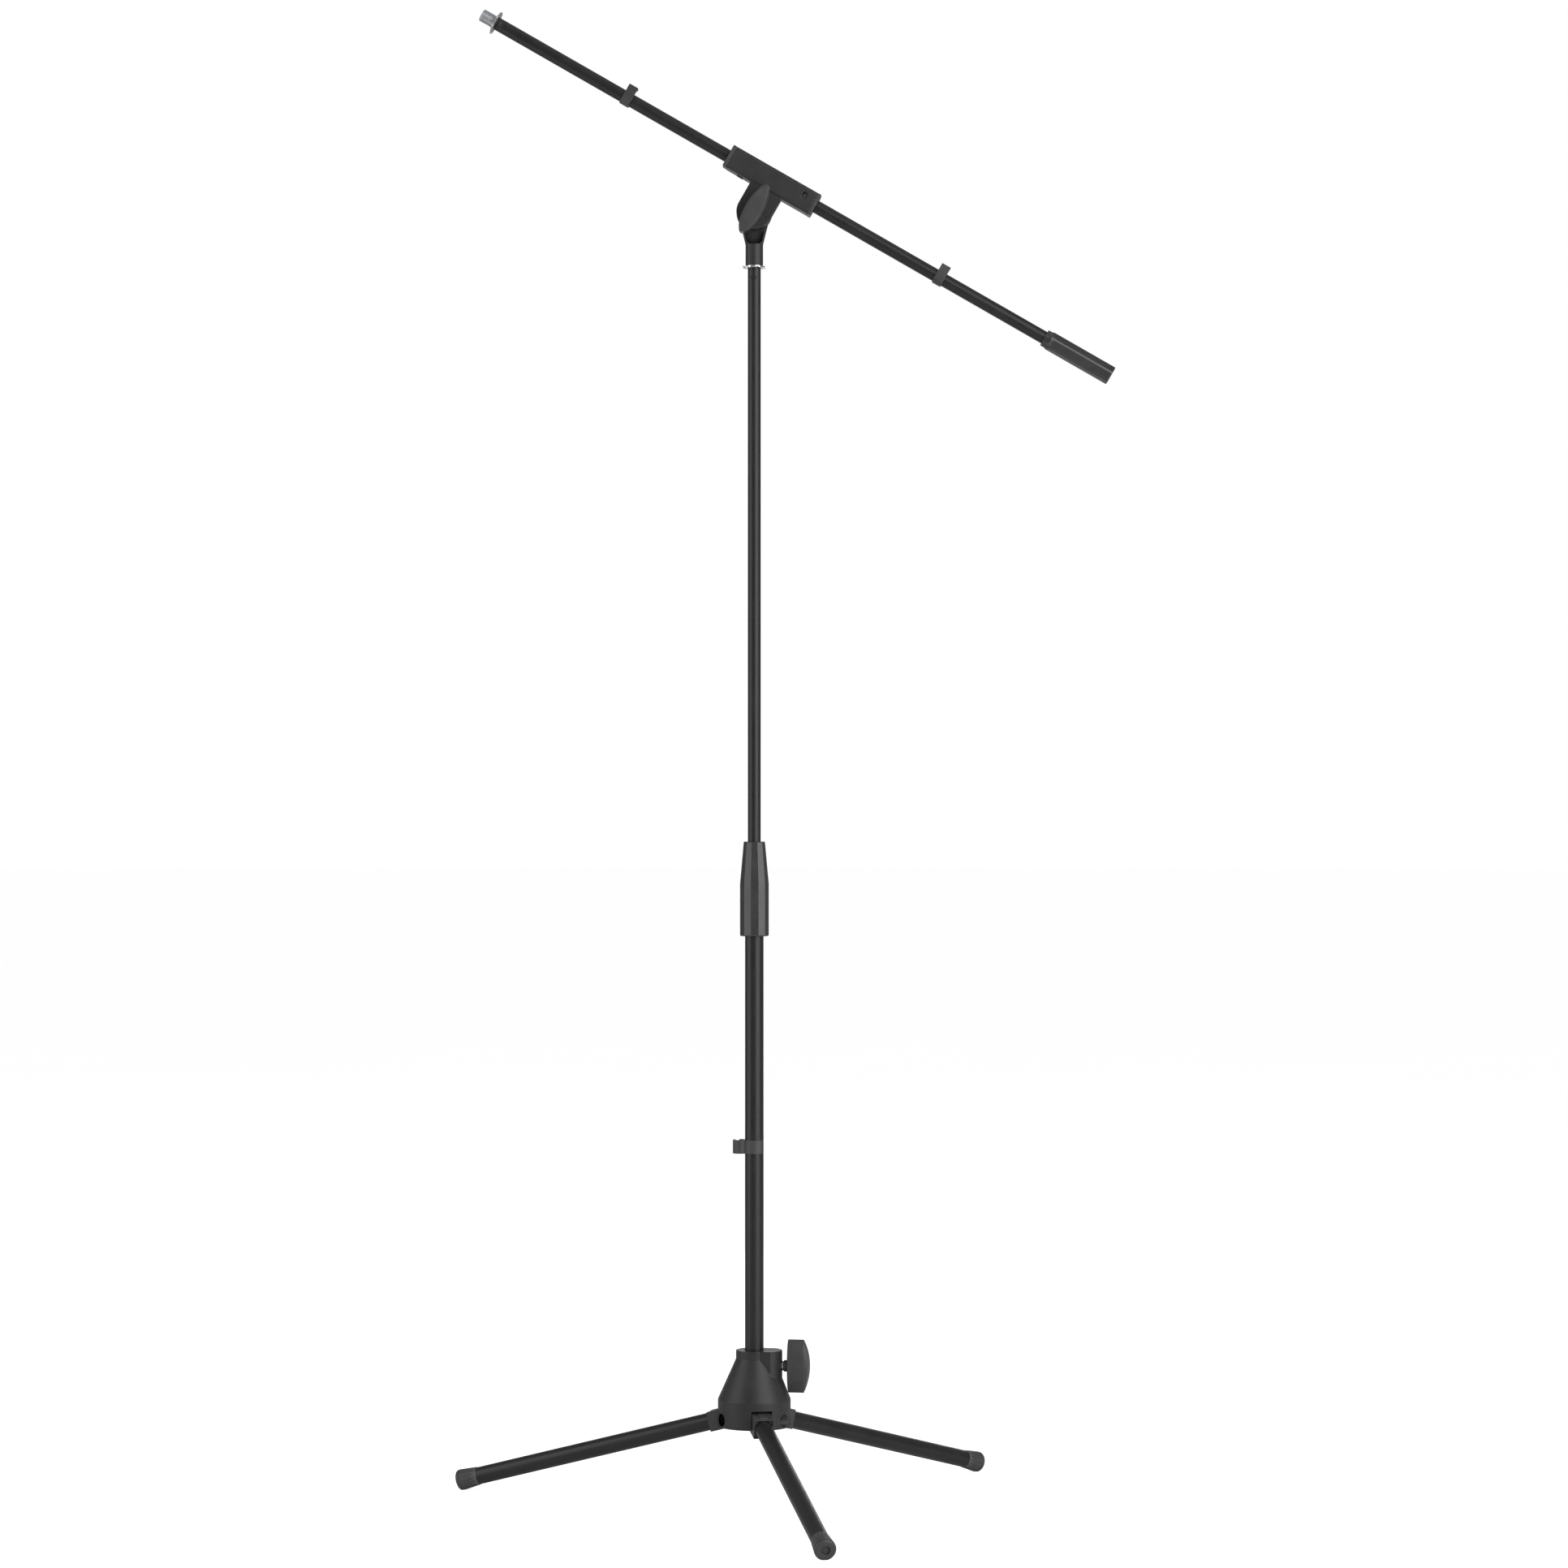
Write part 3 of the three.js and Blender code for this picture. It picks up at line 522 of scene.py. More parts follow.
def tripod_hub():
    """A cone on a round base, hollow underneath, with a clamp boss, three leg slots and their pin holes."""
    low, high = extent("tripod_hub", MAST)
    pivot = Vector(joints["leg_fold_front"]["pos_m"])
    hub.bottom, hub.top, hub.radius = low.z, high.z, high.y
    hub.pivot_out = (pivot - mast_foot).to_2d().length / MM
    hub.pivot_up = pivot.z / MM
    fall = (hub.radius - hub.neck) / (hub.cone_top - hub.rim)
    angles = [math.atan2(leg_outwards(side).y, leg_outwards(side).x) for side in sides]
    boss_way = Vector(joints["base_knob_turn"]["axis"])
    boss_angle = math.atan2(boss_way.y, boss_way.x)

    body = lathe([(0, hub.bottom), (hub.radius, hub.bottom), (hub.radius, hub.rim), (hub.neck, hub.cone_top),
                  (hub.neck, hub.top), (0, hub.top)], 144)
    outside = join(body, turned(clamp_boss(hub.top), boss_angle, "Z"))
    wide, under = hub.radius - hub.skin, hub.bottom - 5
    narrow = wide - (hub.cavity_top - hub.rim) * fall
    cavity = lathe([(hub.core, under), (wide, under), (wide, hub.rim), (narrow, hub.cavity_top),
                    (hub.core, hub.cavity_top)], 144)
    mountings = [common(leg_mounting(angle), copied(outside)) for angle in angles]
    shell = join(cut(outside, cavity), *mountings)
    tube_radius = extent("lower_tube", MAST)[1].x
    bore = rod(tube_radius + gap, under, hub.top + 5)
    screw_up = base_screw_at.z / MM
    screw_hole = rod(screw.radius + gap, tube_radius, boss.reach + 5, 32)
    shoe_pocket = rod(shoe.radius, tube_radius - 3, shoe.depth, 48)
    screw_cuts = turned(moved(along_x(join(screw_hole, shoe_pocket)), 0, 0, screw_up), boss_angle, "Z")
    rough = cast(cut(shell, bore, screw_cuts, *[leg_slot(angle) for angle in angles]), 0.48, 4, 0.16)
    return cut(rough, *[pin_hole(angle) for angle in angles])


put(tripod_hub(), "tripod_hub", "base", MAST)

# ---- Base: pins and legs ----


def hinge_pin():
    """A headed pin with a domed, dimpled head."""
    seat = slot.width / 2 + slot.cheek + gap
    end = 2.2 - slot.width / 2 - slot.cheek
    top = seat + pin.head_height
    profile = [(0, end), (pin.radius, end), (pin.radius, seat), (pin.head, seat), (pin.head, top - 0.7),
               (pin.head - 1.6, top), (2.2, top), (1.2, top - 1), (0, top - 1)]
    return along_y(lathe(softened(profile, 0.5, keep=(0, 8)), 48))


def leg_bracket():
    """The hinge block: a round eye, a socket for the tube in a rimmed face, and a small rib on top."""
    wide, tall, length = bracket.half_width, bracket.half_height, bracket.length
    body = join(box((0, -wide, -tall), (length, wide, tall)), along_y(rod(tall, -wide, wide)))
    rib = box((6, -5, tall - 1), (length - 4, 5, tall + 0.9))
    leg_radius = extent("leg_tube_front", leg_frame("front"))[1].y
    hole = along_y(rod(pin.radius + gap, -20, 20, 48))
    socket = along_x(rod(leg_radius + gap / 2, bracket.socket, length + 5))
    face_y, face_z = wide - bracket.rim, tall - bracket.rim
    face = box((length - bracket.recess, -face_y, -face_z), (length + 5, face_y, face_z))
    return cast(cut(join(body, rib), hole, socket, face), 0.3, 2, 0.25)


def pipe(radius, low, high, edge=0.35, change=None, rows=()):
    """A tube with eased ends. rows are extra heights on the outside for change to work on."""
    inner = radius - tube_wall
    outside = [(radius, low + edge), *[(radius, row) for row in rows], (radius, high - edge)]
    profile = [(inner, low + edge), (inner + edge, low), (radius - edge, low), *outside,
               (radius - edge, high), (inner + edge, high), (inner, high - edge)]
    return lathe(profile, 96, change)


def flutes(count, depth, share, start, end, fade, turn=0.0):
    """A change for lathe: round-ended grooves along the piece, each share of its pitch wide."""
    def change(angle, radius, height):
        across = ((angle - turn) * count / math.tau) % 1 - 0.5
        inside = min(height - start, end - height)
        if inside <= 0:
            return radius
        ends = min(1, inside / fade)
        half = share / 2 * math.sqrt(1 - (1 - ends) ** 2)
        if abs(across) >= half:
            return radius
        return radius - depth * (1 - (across / half) ** 2) * math.sqrt(ends)
    return change


def rubber_foot(side):
    """A fluted cap with a domed end, pressed flat where it stands on the floor."""
    place = leg_frame(side)
    low = extent("foot_" + side, place)[0]
    tube_radius = extent("leg_tube_" + side, place)[1].y
    reach = low.x + 27.9
    mouth, full, pocket = foot.mouth, foot.full, tube_radius + gap / 2
    shoulder = reach - foot.round
    wall_end = shoulder - 1.8
    wall = []
    for step in range(25):
        share = step / 24
        wall.append((mouth + (full - mouth) * share, low.x + 0.6 + (wall_end - low.x - 0.6) * share))
    wall += [(full - foot.groove, wall_end + 0.5), (full - foot.groove, wall_end + 1), (full, shoulder)]
    dome = [(full - foot.round + x, shoulder + y) for x, y in arc(foot.round, 0, 90, 8)[1:]]
    floor = reach - foot.recess_depth
    profile = [(pocket, low.x), (mouth - 0.5, low.x), *wall, *dome, (foot.recess + 0.5, reach),
               (foot.recess, reach - 0.5), (foot.recess, floor + 0.4), (foot.recess - 0.4, floor), (0, floor),
               (0, reach - foot.end_wall), (pocket, reach - foot.end_wall)]
    grooves = flutes(foot.flutes, 0.4, 0.6, low.x + 3, wall_end - 0.5, 2.5)
    cap = along_x(lathe(profile, 192, lambda a, r, z: grooves(a, r, z) if r > foot.mouth else r))
    cap.data.transform(place)
    for vertex in cap.data.vertices:
        vertex.co.z = max(vertex.co.z, 0)
    cap.data.transform(place.inverted())
    return cap


bracket_shape = leg_bracket()
for side in sides:
    leg, body = leg_frame(side), "leg_" + side
    low, high = extent("leg_tube_" + side, leg)
    put(copied(bracket_shape), "leg_bracket_" + side, body, leg)
    put(along_x(pipe(high.y, low.x, high.x)), "leg_tube_" + side, body, leg)
    put(rubber_foot(side), "foot_" + side, body, leg, finish=foot_rubber)
    level = local_frame(joints["leg_fold_" + side]["pos_m"], leg_outwards(side), UP)
    # Near-black pin finish: painted shade for the pin holes.
    put(hinge_pin(), "hinge_pin_" + side, "base", level, finish=pin_shade_steel)
bpy.data.objects.remove(bracket_shape)

# ---- Clamp knobs, with their screws and washers ----


def paddle_knob(start):
    """An elliptical paddle on a round neck, bored for its screw. Its front is bowed along the paddle, and
    steep shoulders take it down to a level rim."""
    back = start + paddle.neck_length
    front = back + paddle.side
    half_length, half_width = paddle.half_length, paddle.half_width
    angles = [math.tau * k / 120 for k in range(120)]
    outline = [(half_length * math.cos(a), half_width * math.sin(a)) for a in angles]

    def crowned(loop, share):
        """A loop raised by its share of the bow above the rim."""
        return [(x, y, front + paddle.crown * share * (1 - (x / half_length) ** 2)) for x, y in loop]

    rings = rim_rings(outline, back, paddle.back_edge, 1) + [crowned(outline, 0)]
    shoulder_steps, face_steps = 8, 24
    for step in range(1, shoulder_steps + 1):
        t = step / shoulder_steps
        rings.append(crowned(inset(outline, paddle.shoulder * t), 1 - (1 - t) ** 1.7))
    brow = inset(outline, paddle.shoulder)
    for step in range(1, face_steps + 1):
        share = 1 - step / face_steps
        rings.append(crowned([(x * share, y * share) for x, y in brow] if share else [(0, 0)], 1))
    body = skin("paddle", rings)
    root = paddle.neck + 1.4
    profile = [(0, start), (paddle.neck, start), (paddle.neck, back - 1.2), (root, back + 0.2),
               (root, back + 2), (0, back + 2)]
    neck = lathe(softened(profile, 0.9, keep=(0, 4, 5)), 72)
    return cut(join(body, neck), rod(screw.radius + gap, start - 1, start + paddle.bore, 36))


def washer_ring(low, high):
    inner, outer = screw.radius + gap, screw.washer
    return lathe(softened([(inner, low), (outer, low), (outer, high), (inner, high)], 0.35), 64)


def thread(pitch, depth, low, high, fade):
    """A change for lathe: a ridge that winds along the piece, and runs out at both ends."""
    def change(angle, radius, height):
        turn = (height / pitch - angle / math.tau) % 1
        ends = max(0, min(1, (height - low) / fade, (high - height) / fade))
        return radius - depth * abs(turn * 2 - 1) * ends
    return change


def threaded_rod(radius, low, high, pitch, depth, chamfer):
    length = high - low - 2 * chamfer
    rows = round(length / pitch * 8)
    inside = [(radius, low + chamfer + length * k / rows) for k in range(rows + 1)]
    profile = [(0, low), (radius - chamfer, low), *inside, (radius - chamfer, high), (0, high)]
    winding = thread(pitch, depth, low + chamfer, high - chamfer, pitch / 2)
    return lathe(profile, 64, lambda a, r, z: winding(a, r, z) if r == radius else r)


for name, place in (("base", BASE_KNOB), ("tilt", TILT_KNOB)):
    body = name + "_knob"
    put(paddle_knob(extent(body, place)[0].z), body, body, place)
    low, high = extent(name + "_washer", place)
    put(washer_ring(low.z, high.z), name + "_washer", body, place)
    low, high = extent(name + "_screw", place)
    screw_shape = threaded_rod(screw.radius, low.z, high.z, screw.pitch, screw.depth, 0.5)
    put(screw_shape, name + "_screw", body, place)

# ---- Mast ----


def dent(at, depth, across, along, face):
    """A change for lathe: a punched dimple at a height, on the side that an angle faces."""
    def change(angle, radius, height):
        turn = (angle - face + math.pi) % math.tau - math.pi
        away = (turn * radius / across) ** 2 + ((height - at) / along) ** 2
        return radius - depth * math.exp(-away * away)
    return change


def dented_tube(radius, low, high, at, across, face):
    """A tube with a crimp dimple, and closer rows of points where it is."""
    mark = dent(at, dimple.depth, across, dimple.along, face)
    reach = dimple.along * 1.6
    rows = [at - reach + 2 * reach * k / 24 for k in range(25)]
    return pipe(radius, low, high, change=lambda a, r, z: mark(a, r, z) if r == radius else r, rows=rows)


def crossing(radius, other, distance):
    """Where two circles cross: the angle in degrees at the first centre, off the line to the other."""
    share = (radius ** 2 + distance ** 2 - other ** 2) / (2 * radius * distance)
    return math.degrees(math.acos(share))


def bend(start, corner, end, steps=6):
    """Points of a curve that rounds a corner, without its ends."""
    a, b, c = Vector(start), Vector(corner), Vector(end)
    shares = [step / steps for step in range(1, steps)]
    return [tuple(a * (1 - t) ** 2 + b * 2 * t * (1 - t) + c * t * t) for t in shares]


def mast_cable_clip():
    """A snap ring with a second, open loop beside it. Both are drawn as one outline and blended together."""
    low, high = extent("mast_cable_clip", MAST)
    inner = extent("lower_tube", MAST)[1].x + gap / 2
    outer, loop, pocket = inner + clip.wall, clip.loop, clip.loop - clip.loop_wall
    centre = (clip.loop_x, clip.loop_y)
    distance = math.hypot(*centre)
    way = math.degrees(math.atan2(clip.loop_y, clip.loop_x))
    back = way - 180
    ring_at, loop_at = crossing(outer, loop, distance), crossing(loop, outer, distance)
    ring_in, loop_in = crossing(outer, pocket, distance), crossing(pocket, outer, distance)
    wide, narrow = [math.degrees(math.acos(clip.mouth / radius)) for radius in (outer, inner)]
    slit_out, slit_in = [math.degrees(math.asin(clip.half_slit / radius)) for radius in (loop, pocket)]
    loop_ease, ring_ease = 14, 9.8
    behind = arc(outer, wide, way - ring_at - ring_ease, 28)
    far_top = arc(loop, back + loop_at + loop_ease, clip.slit - slit_out, 10, centre)
    far_side = arc(loop, clip.slit + slit_out, back - loop_at - loop_ease + 360, 36, centre)
    before = arc(outer, way + ring_at + ring_ease, 360 - wide, 32)
    corners = [arc(outer, way + side * ring_at, way, 1)[0] for side in (-1, 1)]
    outline = behind + bend(behind[-1], corners[0], far_top[0]) + far_top
    outline += arc(pocket, clip.slit - slit_in, back + loop_in, 12, centre)
    outline += arc(outer, way - ring_in + 1, way + ring_in - 1, 12)
    outline += arc(pocket, back - loop_in + 360, clip.slit + slit_in, 36, centre) + far_side
    outline += bend(far_side[-1], corners[1], before[0]) + before
    outline += arc(inner, 360 - narrow, narrow, 60)
    return prism(outline, low.z, high.z, 0.3)


def clutch_grip():
    """A twelve-sided sleeve with a tapered top, bored for what it turns round."""
    low, high = extent("clutch_grip", MAST)
    bottom, top = low.z, high.z

    def loop(radius, height):
        angles = [clutch.first + math.tau * k / clutch.sides for k in range(clutch.sides)]
        return [(radius * math.cos(a), radius * math.sin(a), height) for a in angles]

    outside = skin("grip", [loop(clutch.radius - 1, bottom), loop(clutch.radius, bottom + 1),
                            loop(clutch.radius, clutch.shoulder), loop(clutch.top + 0.12, top - 0.8),
                            loop(clutch.top - 0.6, top)])
    bevelled(outside, 0.5, 4)
    lower = extent("lower_tube", MAST)[1].x + clutch.play
    upper = extent("upper_tube", MAST)[1].x + clutch.play
    sleeve_low, sleeve_high = extent("clutch_collar", MAST)
    collet = extent("clutch_collet", MAST)[1]
    sleeve, seat, start, end = sleeve_high.x + clutch.play, collet.x + 0.5, sleeve_low.z, sleeve_high.z
    bore = lathe([(0, bottom - 1), (lower, bottom - 1), (lower, start - 4), (sleeve, start - 2),
                  (sleeve, end + 1), (seat, end + 3), (seat, end + 14), (10.1, collet.z + 0.5),
                  (upper, collet.z + 1), (upper, top + 1), (0, top + 1)])
    return cut(outside, bore)


def lock_ring(height):
    """A star of bright teeth, each twisted a little, with a low shoulder and a plain bore."""
    outline = []
    for tooth in range(ring.teeth):
        for share, radius in ((0, ring.root), (0.32, ring.radius), (0.62, ring.radius)):
            angle = math.tau * (tooth + share) / ring.teeth
            outline.append((radius * math.cos(angle), radius * math.sin(angle)))
    star = prism(outline, 0, ring.thickness, 0.25)
    for vertex in star.data.vertices:
        reach = vertex.co.to_2d().length
        turn = math.atan2(vertex.co.y, vertex.co.x) / math.tau * ring.teeth
        lean = max(0, reach - ring.root + 0.6) * 0.18 * math.sin(turn * math.tau)
        vertex.co.z = min(max(vertex.co.z + lean, 0), ring.thickness + 0.5)
    shoulder = rod(ring.shoulder, ring.thickness - 0.5, height, 72, 0.4)
    return cut(join(star, shoulder), rod(stud.radius + gap, -1, height + 1, 72))


low, high = extent("lower_tube", MAST)
put(pipe(high.x, low.z, high.z), "lower_tube", "lower_mast", MAST)
put(mast_cable_clip(), "mast_cable_clip", "mast_clip", MAST)
put(clutch_grip(), "clutch_grip", "clutch", MAST, 8)
low, high = extent("upper_tube", MAST)
front = -QUARTER
upper_tube = dented_tube(high.x, low.z, high.z, high.z - 11.4, 4.4, front)
put(upper_tube, "upper_tube", "upper_mast", MAST)
low, high = extent("mast_lock_ring", MAST)
put(moved(lock_ring(high.z - low.z), 0, 0, low.z), "mast_lock_ring", "mast_ring", MAST)

# ---- Head: knuckle ----


def flared_ring(half_x, low_y, high_y, corner, height):
    """A rectangle with round corners, which is a circle while its corners fill it."""
    loop = []
    for start, x, y in ((0, 1, 1), (90, -1, 1), (180, -1, -1), (270, 1, -1)):
        centre = (x * (half_x - corner), high_y - corner if y > 0 else low_y + corner)
        loop.extend(arc(corner, start, start + 90, 15, centre))
    return [(a, b, height) for a, b in loop]


def swivel_knuckle():
    """A round collar that flares into a flat ear. A recess in its front leaves a thin rim."""
    low, high = extent("swivel_knuckle", MAST)
    radius, top, tilt = knuckle.collar, knuckle.collar_top, tilt_pivot.z / MM
    flare = [(radius, top - 4, radius), (14, top + 10, 4.5), (17.7, top + 25, 2.5), (knuckle.disc, tilt, 2)]
    rings = [flared_ring(x, -knuckle.depth, knuckle.depth + min(0.7, (z - top + 4) * 0.1), corner, z)
             for x, z, corner in flare]
    neck = skin("neck", rings)
    disc = moved(along_y(rod(knuckle.disc, knuckle.front, knuckle.back, 144)), 0, 0, tilt)
    post = rod(radius, low.z, top + 3, 96, 0.5)
    rim = [(x - recess.rim, z) for x, z, corner in flare[1:]]
    away, up = recess.half - recess.radius, recess.bottom + recess.radius
    bowl = arc(recess.radius, 180, 270, 10, (-away, up)) + arc(recess.radius, 270, 360, 10, (away, up))
    outline = bowl + rim + [(-x, z) for x, z in reversed(rim)]
    bite = turned(prism(outline, -knuckle.front, 60), QUARTER, "X")
    room = box((-60, -60, recess.rim_top), (60, knuckle.front, tilt + 60))
    back = box((-60, knuckle.back, top - 10), (60, 60, tilt + 60))
    bore = rod(stud.radius + gap, low.z - 1, extent("mast_stud", MAST)[1].z + 1, 72)
    nut_front = extent("tilt_nut", MAST)[0].y
    screw_hole = moved(along_y(rod(screw.radius + gap, -30, 30, 36)), 0, 0, tilt)
    nut_pocket = moved(along_y(rod(nut.pocket, nut_front - gap, 40, 6)), 0, 0, tilt)
    made = cut(join(post, neck, disc), bite, room, back, bore, screw_hole, nut_pocket)
    return cast(made, 0.26, 2, 0.2)


def hex_nut():
    """A hexagonal nut with chamfered corners."""
    low, high = extent("tilt_nut", MAST)
    hexagon = rod(nut.across, low.y, high.y, 6)
    wide, narrow = nut.across + 1.6, nut.across - 1
    cone = lathe([(0, low.y - 2), (wide, low.y - 1), (wide, high.y - 1.2), (narrow, high.y + 0.05),
                  (0, high.y + 0.1)], 72)
    bored = cut(common(hexagon, cone), rod(screw.radius + 0.05, low.y - 1, high.y + 1, 48))
    return moved(along_y(bored), 0, 0, tilt_pivot.z / MM)


put(swivel_knuckle(), "swivel_knuckle", "head", MAST)
put(hex_nut(), "tilt_nut", "head", MAST, 25)

# ---- Head: boom clamp ----


def rounded_box(half_x, half_y, radii):
    corners = [(-half_x, -half_y), (half_x, -half_y), (half_x, half_y), (-half_x, half_y)]
    return softened(corners, radii, steps=8)


def boom_clamp():
    """The square housing on its tongue, bored for the boom, with a latch window at each end."""
    length, half = clamp.half_length, clamp.half
    rise = boom_rise / MM
    housing = moved(along_x(prism(rounded_box(half, half, clamp.edge), -length, length)), 0, 0, rise)
    web = box((-tongue.radius, tongue.front, 0), (tongue.radius, tongue.back, rise - half + 2))
    end = along_y(rod(tongue.radius, tongue.front, tongue.back, 144))
    nub = moved(box((-41, -4, -half - 1.4), (-33, 4, -half + 1)), 0, 0, rise)
    boom_radius = extent("boom_tube", BOOM)[1].y
    tools = [rod(boom_radius + 1.2, -length - 1, length + 1)]
    inner = length - clamp.sleeve_length - 0.5
    tools += [rod(clamp.sleeve + gap, inner, length + 1), rod(clamp.sleeve + gap, -length - 1, -inner)]
    tools = [moved(along_x(tool), 0, 0, rise) for tool in tools]
    tools.append(along_y(rod(screw.radius + gap, -40, 40, 36)))
    for way in (1, -1):
        x = sorted(way * (window.along + side * window.length / 2) for side in (-1, 1))
        y = sorted((0, -way * (half + 1)))
        z = [rise + window.above + side * window.height / 2 for side in (-1, 1)]
        tools.append(box((x[0], y[0], z[0]), (x[1], y[1], z[1])))
    for way in (-1, 1):
        mark = along_y(rod(0.9, tongue.front - 1, tongue.front + 0.9, 16))
        tools.append(moved(mark, way * clamp.mark_x))
    return cast(cut(join(housing, web, end, nub), *tools), 0.42, 3, 0.3)


def clamp_bush(way):
    """An end bush: a square flange, a sleeve inside the housing, and a latch that ramps up in the window."""
    length, half = clamp.half_length, clamp.half
    corners = (2, 2, 2, 8) if way > 0 else (2, 8, 2, 2)
    flange = along_x(prism(rounded_box(half, half, corners), length + 0.08, length + gap + clamp.flange, 0.8))
    sleeve = along_x(rod(clamp.sleeve, length - clamp.sleeve_length, length + 1))
    near, far = window.along - window.length / 2 + 1.9, window.along + window.length / 2 + 0.2
    latch = moved(box((near, 2 - half, -3.9), (far, -9, 3.3)), 0, 0, window.above)
    body = join(flange, sleeve, latch)
    if way < 0:
        body = turned(body, math.pi, "Z")
    boom_radius = extent("boom_tube", BOOM)[1].y
    return cut(body, along_x(rod(boom_radius + gap, -2 * length, 2 * length)))


put(boom_clamp(), "boom_clamp", "boom_clamp", TONGUE)
put(clamp_bush(1), "clamp_bush_tail", "boom_clamp", BOOM)
put(clamp_bush(-1), "clamp_bush_head", "boom_clamp", BOOM)

# ---- Boom ----


def boom_cable_clip(node):
    """A flat-fronted snap clip with a pocket above the tube for a cable, open at the back."""
    low, high = extent(node, BOOM)
    tube = extent("boom_tube", BOOM)[1].y + gap / 2
    radius, top, bevel, pocket = boom_clip.radius, boom_clip.top, boom_clip.bevel, boom_clip.pocket
    upper, pocket_up = top - radius, top - boom_clip.wall - pocket
    mouth_y, mouth_high = boom_clip.mouth_y, boom_clip.mouth_high
    lip_low, lip_in = [math.degrees(math.asin(boom_clip.mouth_low / size)) for size in (radius, tube)]
    joint, joint_up = crossing(tube, pocket, pocket_up), crossing(pocket, tube, pocket_up)
    lip_top = math.degrees(math.asin((mouth_high - upper) / radius))
    corners = [(0, top), (-radius, top), (-radius, -bevel), (-bevel, -radius), (0, -radius)]
    section = softened(corners, 0.9, keep=(0, 4))[1:] + arc(radius, -90, lip_low, 12)[1:]
    section += arc(tube, lip_in, -270 + joint, 44)
    section += arc(pocket, 270 - joint_up, math.degrees(math.acos(mouth_y / pocket)), 24, (0, pocket_up))
    section += [(mouth_y, mouth_high)] + arc(radius, lip_top, 90, 8, (0, upper))
    return along_x(prism([(-z, y) for y, z in section], low.x, high.x, 0.22))


def boom_grip():
    """A handle with flat panels between rounded ribs, a narrower, chamfered neck and a flat end."""
    low, high = extent("boom_grip", BOOM)
    tube_end = extent("boom_tube", BOOM)[1]
    start, end, bore, stop = low.x, high.x, tube_end.y + gap / 2, tube_end.x + gap
    neck_end = start + grip.neck_length
    full_from = neck_end + grip.chamfer
    wall = [(grip.full, full_from + (end - 0.6 - full_from) * (k / 60) ** 1.6) for k in range(61)]
    rim = grip.full - 0.6
    profile = [(bore, start), (grip.neck - 0.4, start), (grip.neck, start + 0.4), (grip.neck, neck_end),
               *wall, (rim, end), (0, end), (0, stop), (bore, stop)]
    turn = math.radians(15)
    groove = flutes(grip.panels, grip.panel_depth, grip.panel_share, full_from + 0.5, end + 60, 5, turn)
    shape = lathe(profile, 192, lambda a, r, z: groove(a, r, z) if r >= rim and z > neck_end else r)
    return along_x(shape)


low, high = extent("boom_tube", BOOM)
boom_tube = dented_tube(high.y, low.x, high.x, low.x + 5.8, 5.2, front)
put(along_x(boom_tube), "boom_tube", "boom", BOOM)
thread_end, shank_radius = low.x - gap, high.y - tube_wall - gap
low, high = extent("boom_stud", BOOM)
tip = threaded_rod(stud.radius, low.x, thread_end, stud.pitch, stud.depth, 0.9)
shank = rod(shank_radius, thread_end - 1, high.x, 48)
put(along_x(join(tip, shank)), "boom_stud", "boom", BOOM, 60)
low, high = extent("boom_lock_ring", BOOM)
boom_ring = turned(lock_ring(high.x - low.x), math.pi, "X")
put(along_x(moved(boom_ring, 0, 0, high.x)), "boom_lock_ring", "boom_ring", BOOM)
for end in ("head", "tail"):
    node = "boom_clip_" + end
    put(boom_cable_clip(node), node, end + "_clip", BOOM)
put(boom_grip(), "boom_grip", "boom", BOOM, 50)

# ---- Pieces inside that keep their CAD shape ----

for node in ("base_shoe", "lower_plug", "clutch_collar", "clutch_collet", "guide_bush", "mast_stud",
             "friction_disc"):
    kept = frame["nodes"][node]
    kept.data.materials.clear()
    kept.data.materials.append(finishes[slots[node]])

# ---- Studio ----

scene = bpy.context.scene
scene.view_settings.view_transform = "Standard"


def seen_only(nodes, links, strength, socket):
    """Feeds a strength to a socket for what the camera sees directly, and nothing to any other ray."""
    scale = nodes.new("ShaderNodeMath")
    scale.operation = "MULTIPLY"
    scale.inputs[1].default_value = strength
    links.new(nodes.new("ShaderNodeLightPath").outputs["Is Camera Ray"], scale.inputs[0])
    links.new(scale.outputs["Value"], socket)


def floor_plane(lift):
    """A pale floor that reaches far past the stand. The lift keeps it white in the picture."""
    shape = bmesh.new()
    bmesh.ops.create_circle(shape, cap_ends=True, segments=64, radius=40)
    mesh = bpy.data.meshes.new("floor")
    shape.to_mesh(mesh)
    shape.free()
    made = bpy.data.objects.new("floor", mesh)
    scene.collection.objects.link(made)
    look = Shader("pale_floor", Roughness=0.9, Specular_IOR_Level=0.1)
    look.drive("Base Color", look.blend(look.noise(1.5, 3), (0.82, 0.82, 0.82), (0.86, 0.86, 0.86)))
    look.principled.inputs["Emission Color"].default_value = (1, 1, 1, 1)
    seen_only(look.tree.nodes, look.tree.links, lift, look.principled.inputs["Emission Strength"])
    made.data.materials.append(look.material)


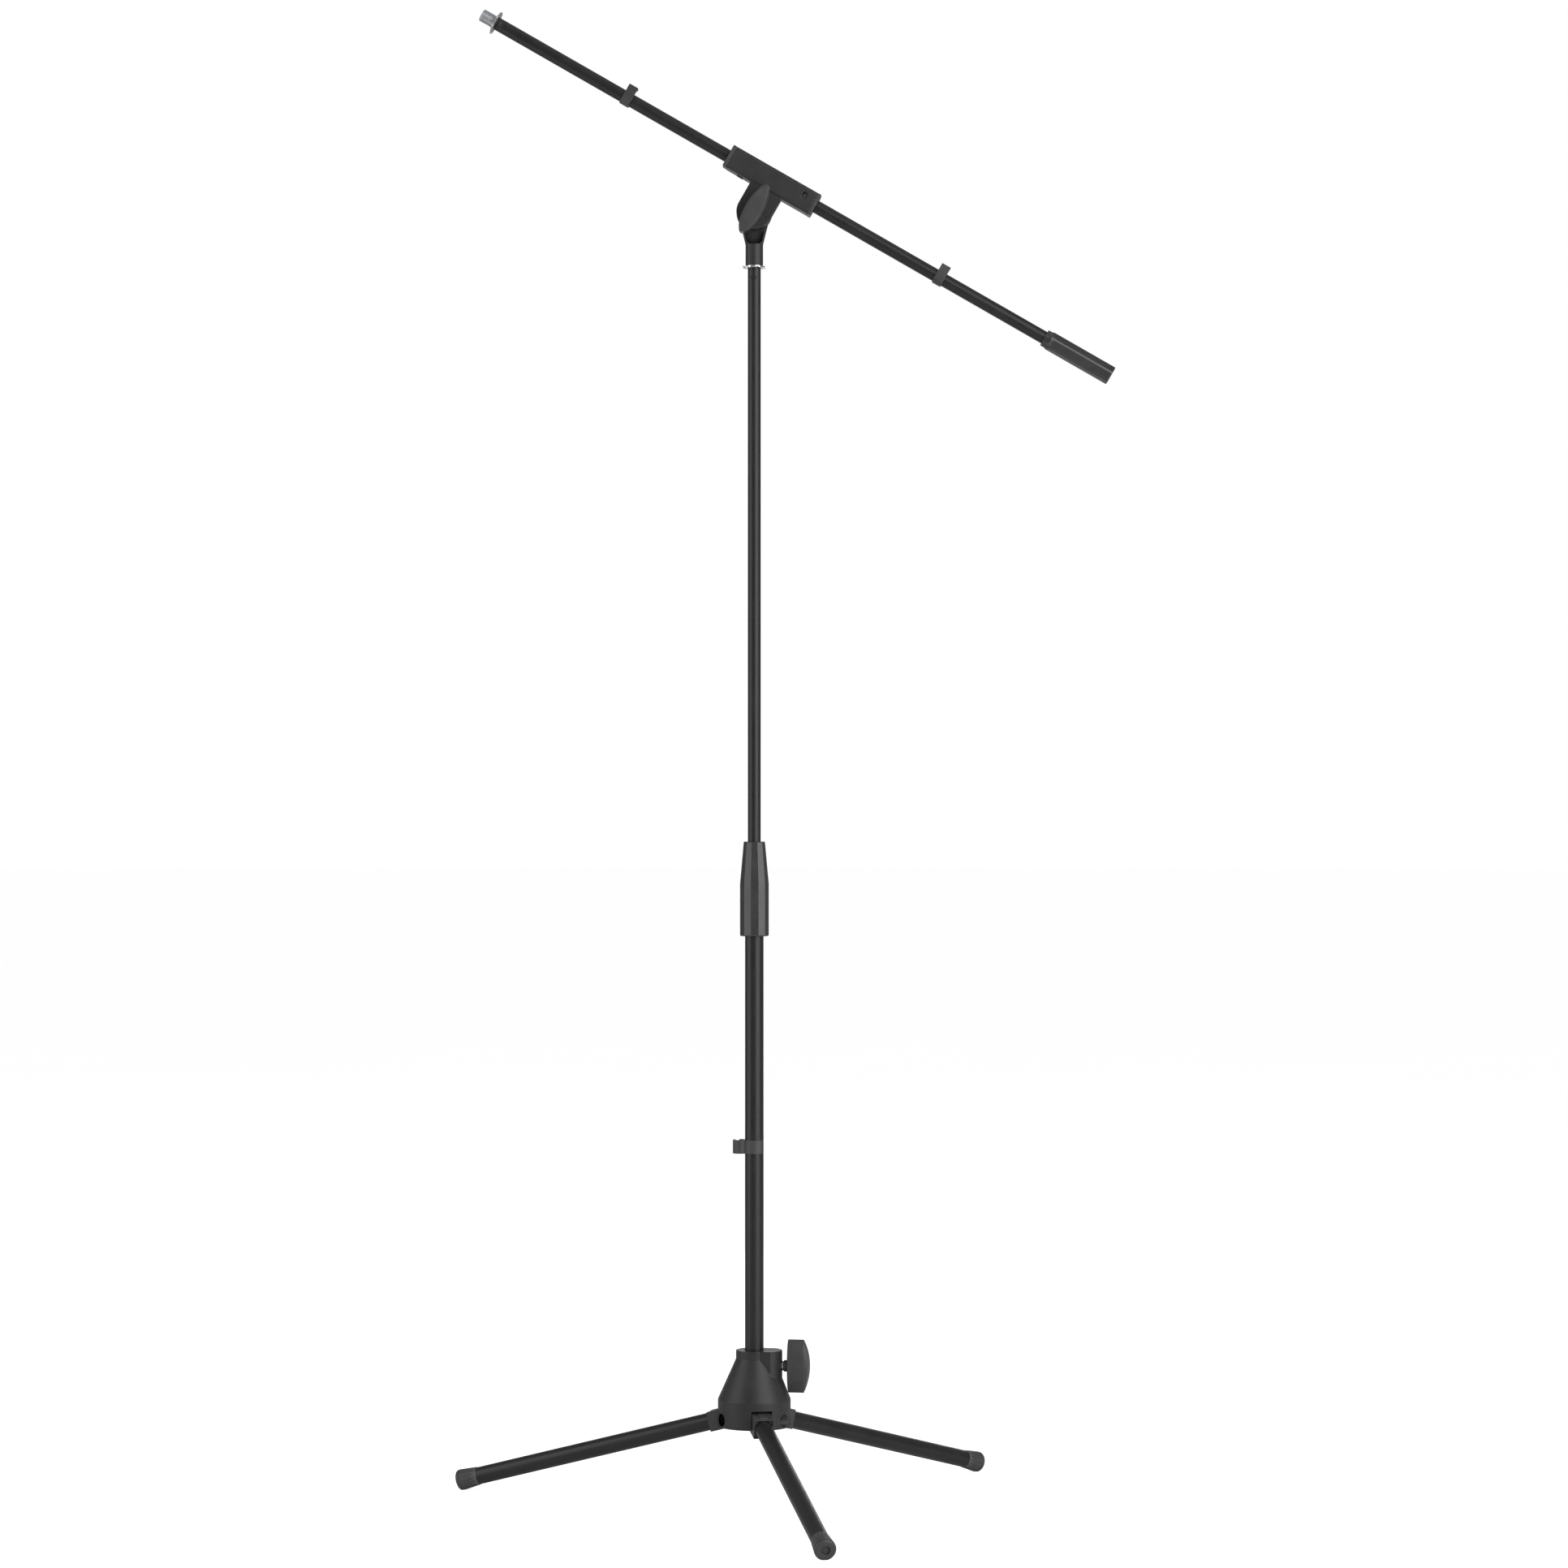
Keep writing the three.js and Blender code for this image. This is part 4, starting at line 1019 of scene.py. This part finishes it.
def studio_sky(light, seen):
    """Even light from all round, and a white backdrop where the camera looks past the floor."""
    world = bpy.data.worlds.new("studio")
    scene.world = world
    world.use_nodes = True
    nodes, links = world.node_tree.nodes, world.node_tree.links
    background = nodes["Background"]
    background.inputs["Color"].default_value = (1, 1, 1, 1)
    background.inputs["Strength"].default_value = light
    backdrop = nodes.new("ShaderNodeBackground")
    backdrop.inputs["Color"].default_value = (1, 1, 1, 1)
    backdrop.inputs["Strength"].default_value = seen
    mix = nodes.new("ShaderNodeMixShader")
    links.new(nodes.new("ShaderNodeLightPath").outputs["Is Camera Ray"], mix.inputs["Fac"])
    links.new(background.outputs["Background"], mix.inputs[1])
    links.new(backdrop.outputs["Background"], mix.inputs[2])
    links.new(mix.outputs["Shader"], nodes["World Output"].inputs["Surface"])


def softbox(name, bearing, rise, distance, width, height, power):
    """An area light at a bearing in degrees to the right of the camera's side, facing the stand's middle."""
    middle = mast_foot + UP * 0.9
    turn, lift = math.radians(bearing), math.radians(rise)
    way = Vector((math.sin(turn) * math.cos(lift), -math.cos(turn) * math.cos(lift), math.sin(lift)))
    lamp = bpy.data.lights.new(name, "AREA")
    lamp.shape = "RECTANGLE"
    lamp.size, lamp.size_y, lamp.energy = width, height, power
    obj = bpy.data.objects.new(name, lamp)
    obj.location = middle + way * distance
    obj.rotation_euler = (-way).to_track_quat("-Z", "Y").to_euler()
    obj.visible_camera = False
    scene.collection.objects.link(obj)


def front_camera():
    """A long lens, level, in front of the mast and a little to its right."""
    lens = bpy.data.cameras.new("camera")
    lens.lens, lens.sensor_width = 98.9, 36
    lens.clip_end = 100
    obj = bpy.data.objects.new("camera", lens)
    obj.location = mast_foot + Vector((0.0366, -5.3078, 0.8883))
    obj.rotation_euler = (QUARTER, 0, 0)
    scene.collection.objects.link(obj)
    scene.camera = obj


floor_plane(lift=0.82)
studio_sky(light=0.2, seen=1.0)
softbox("left_box", -70, 8, 2.6, 2.2, 2.8, 22)
softbox("right_box", 45, 14, 2.6, 2.6, 3.2, 50)
softbox("top_box", 0, 88, 2.2, 2.2, 2.2, 4)
softbox("back_wall", 180, -6, 3.0, 2.6, 0.8, 9)
front_camera()
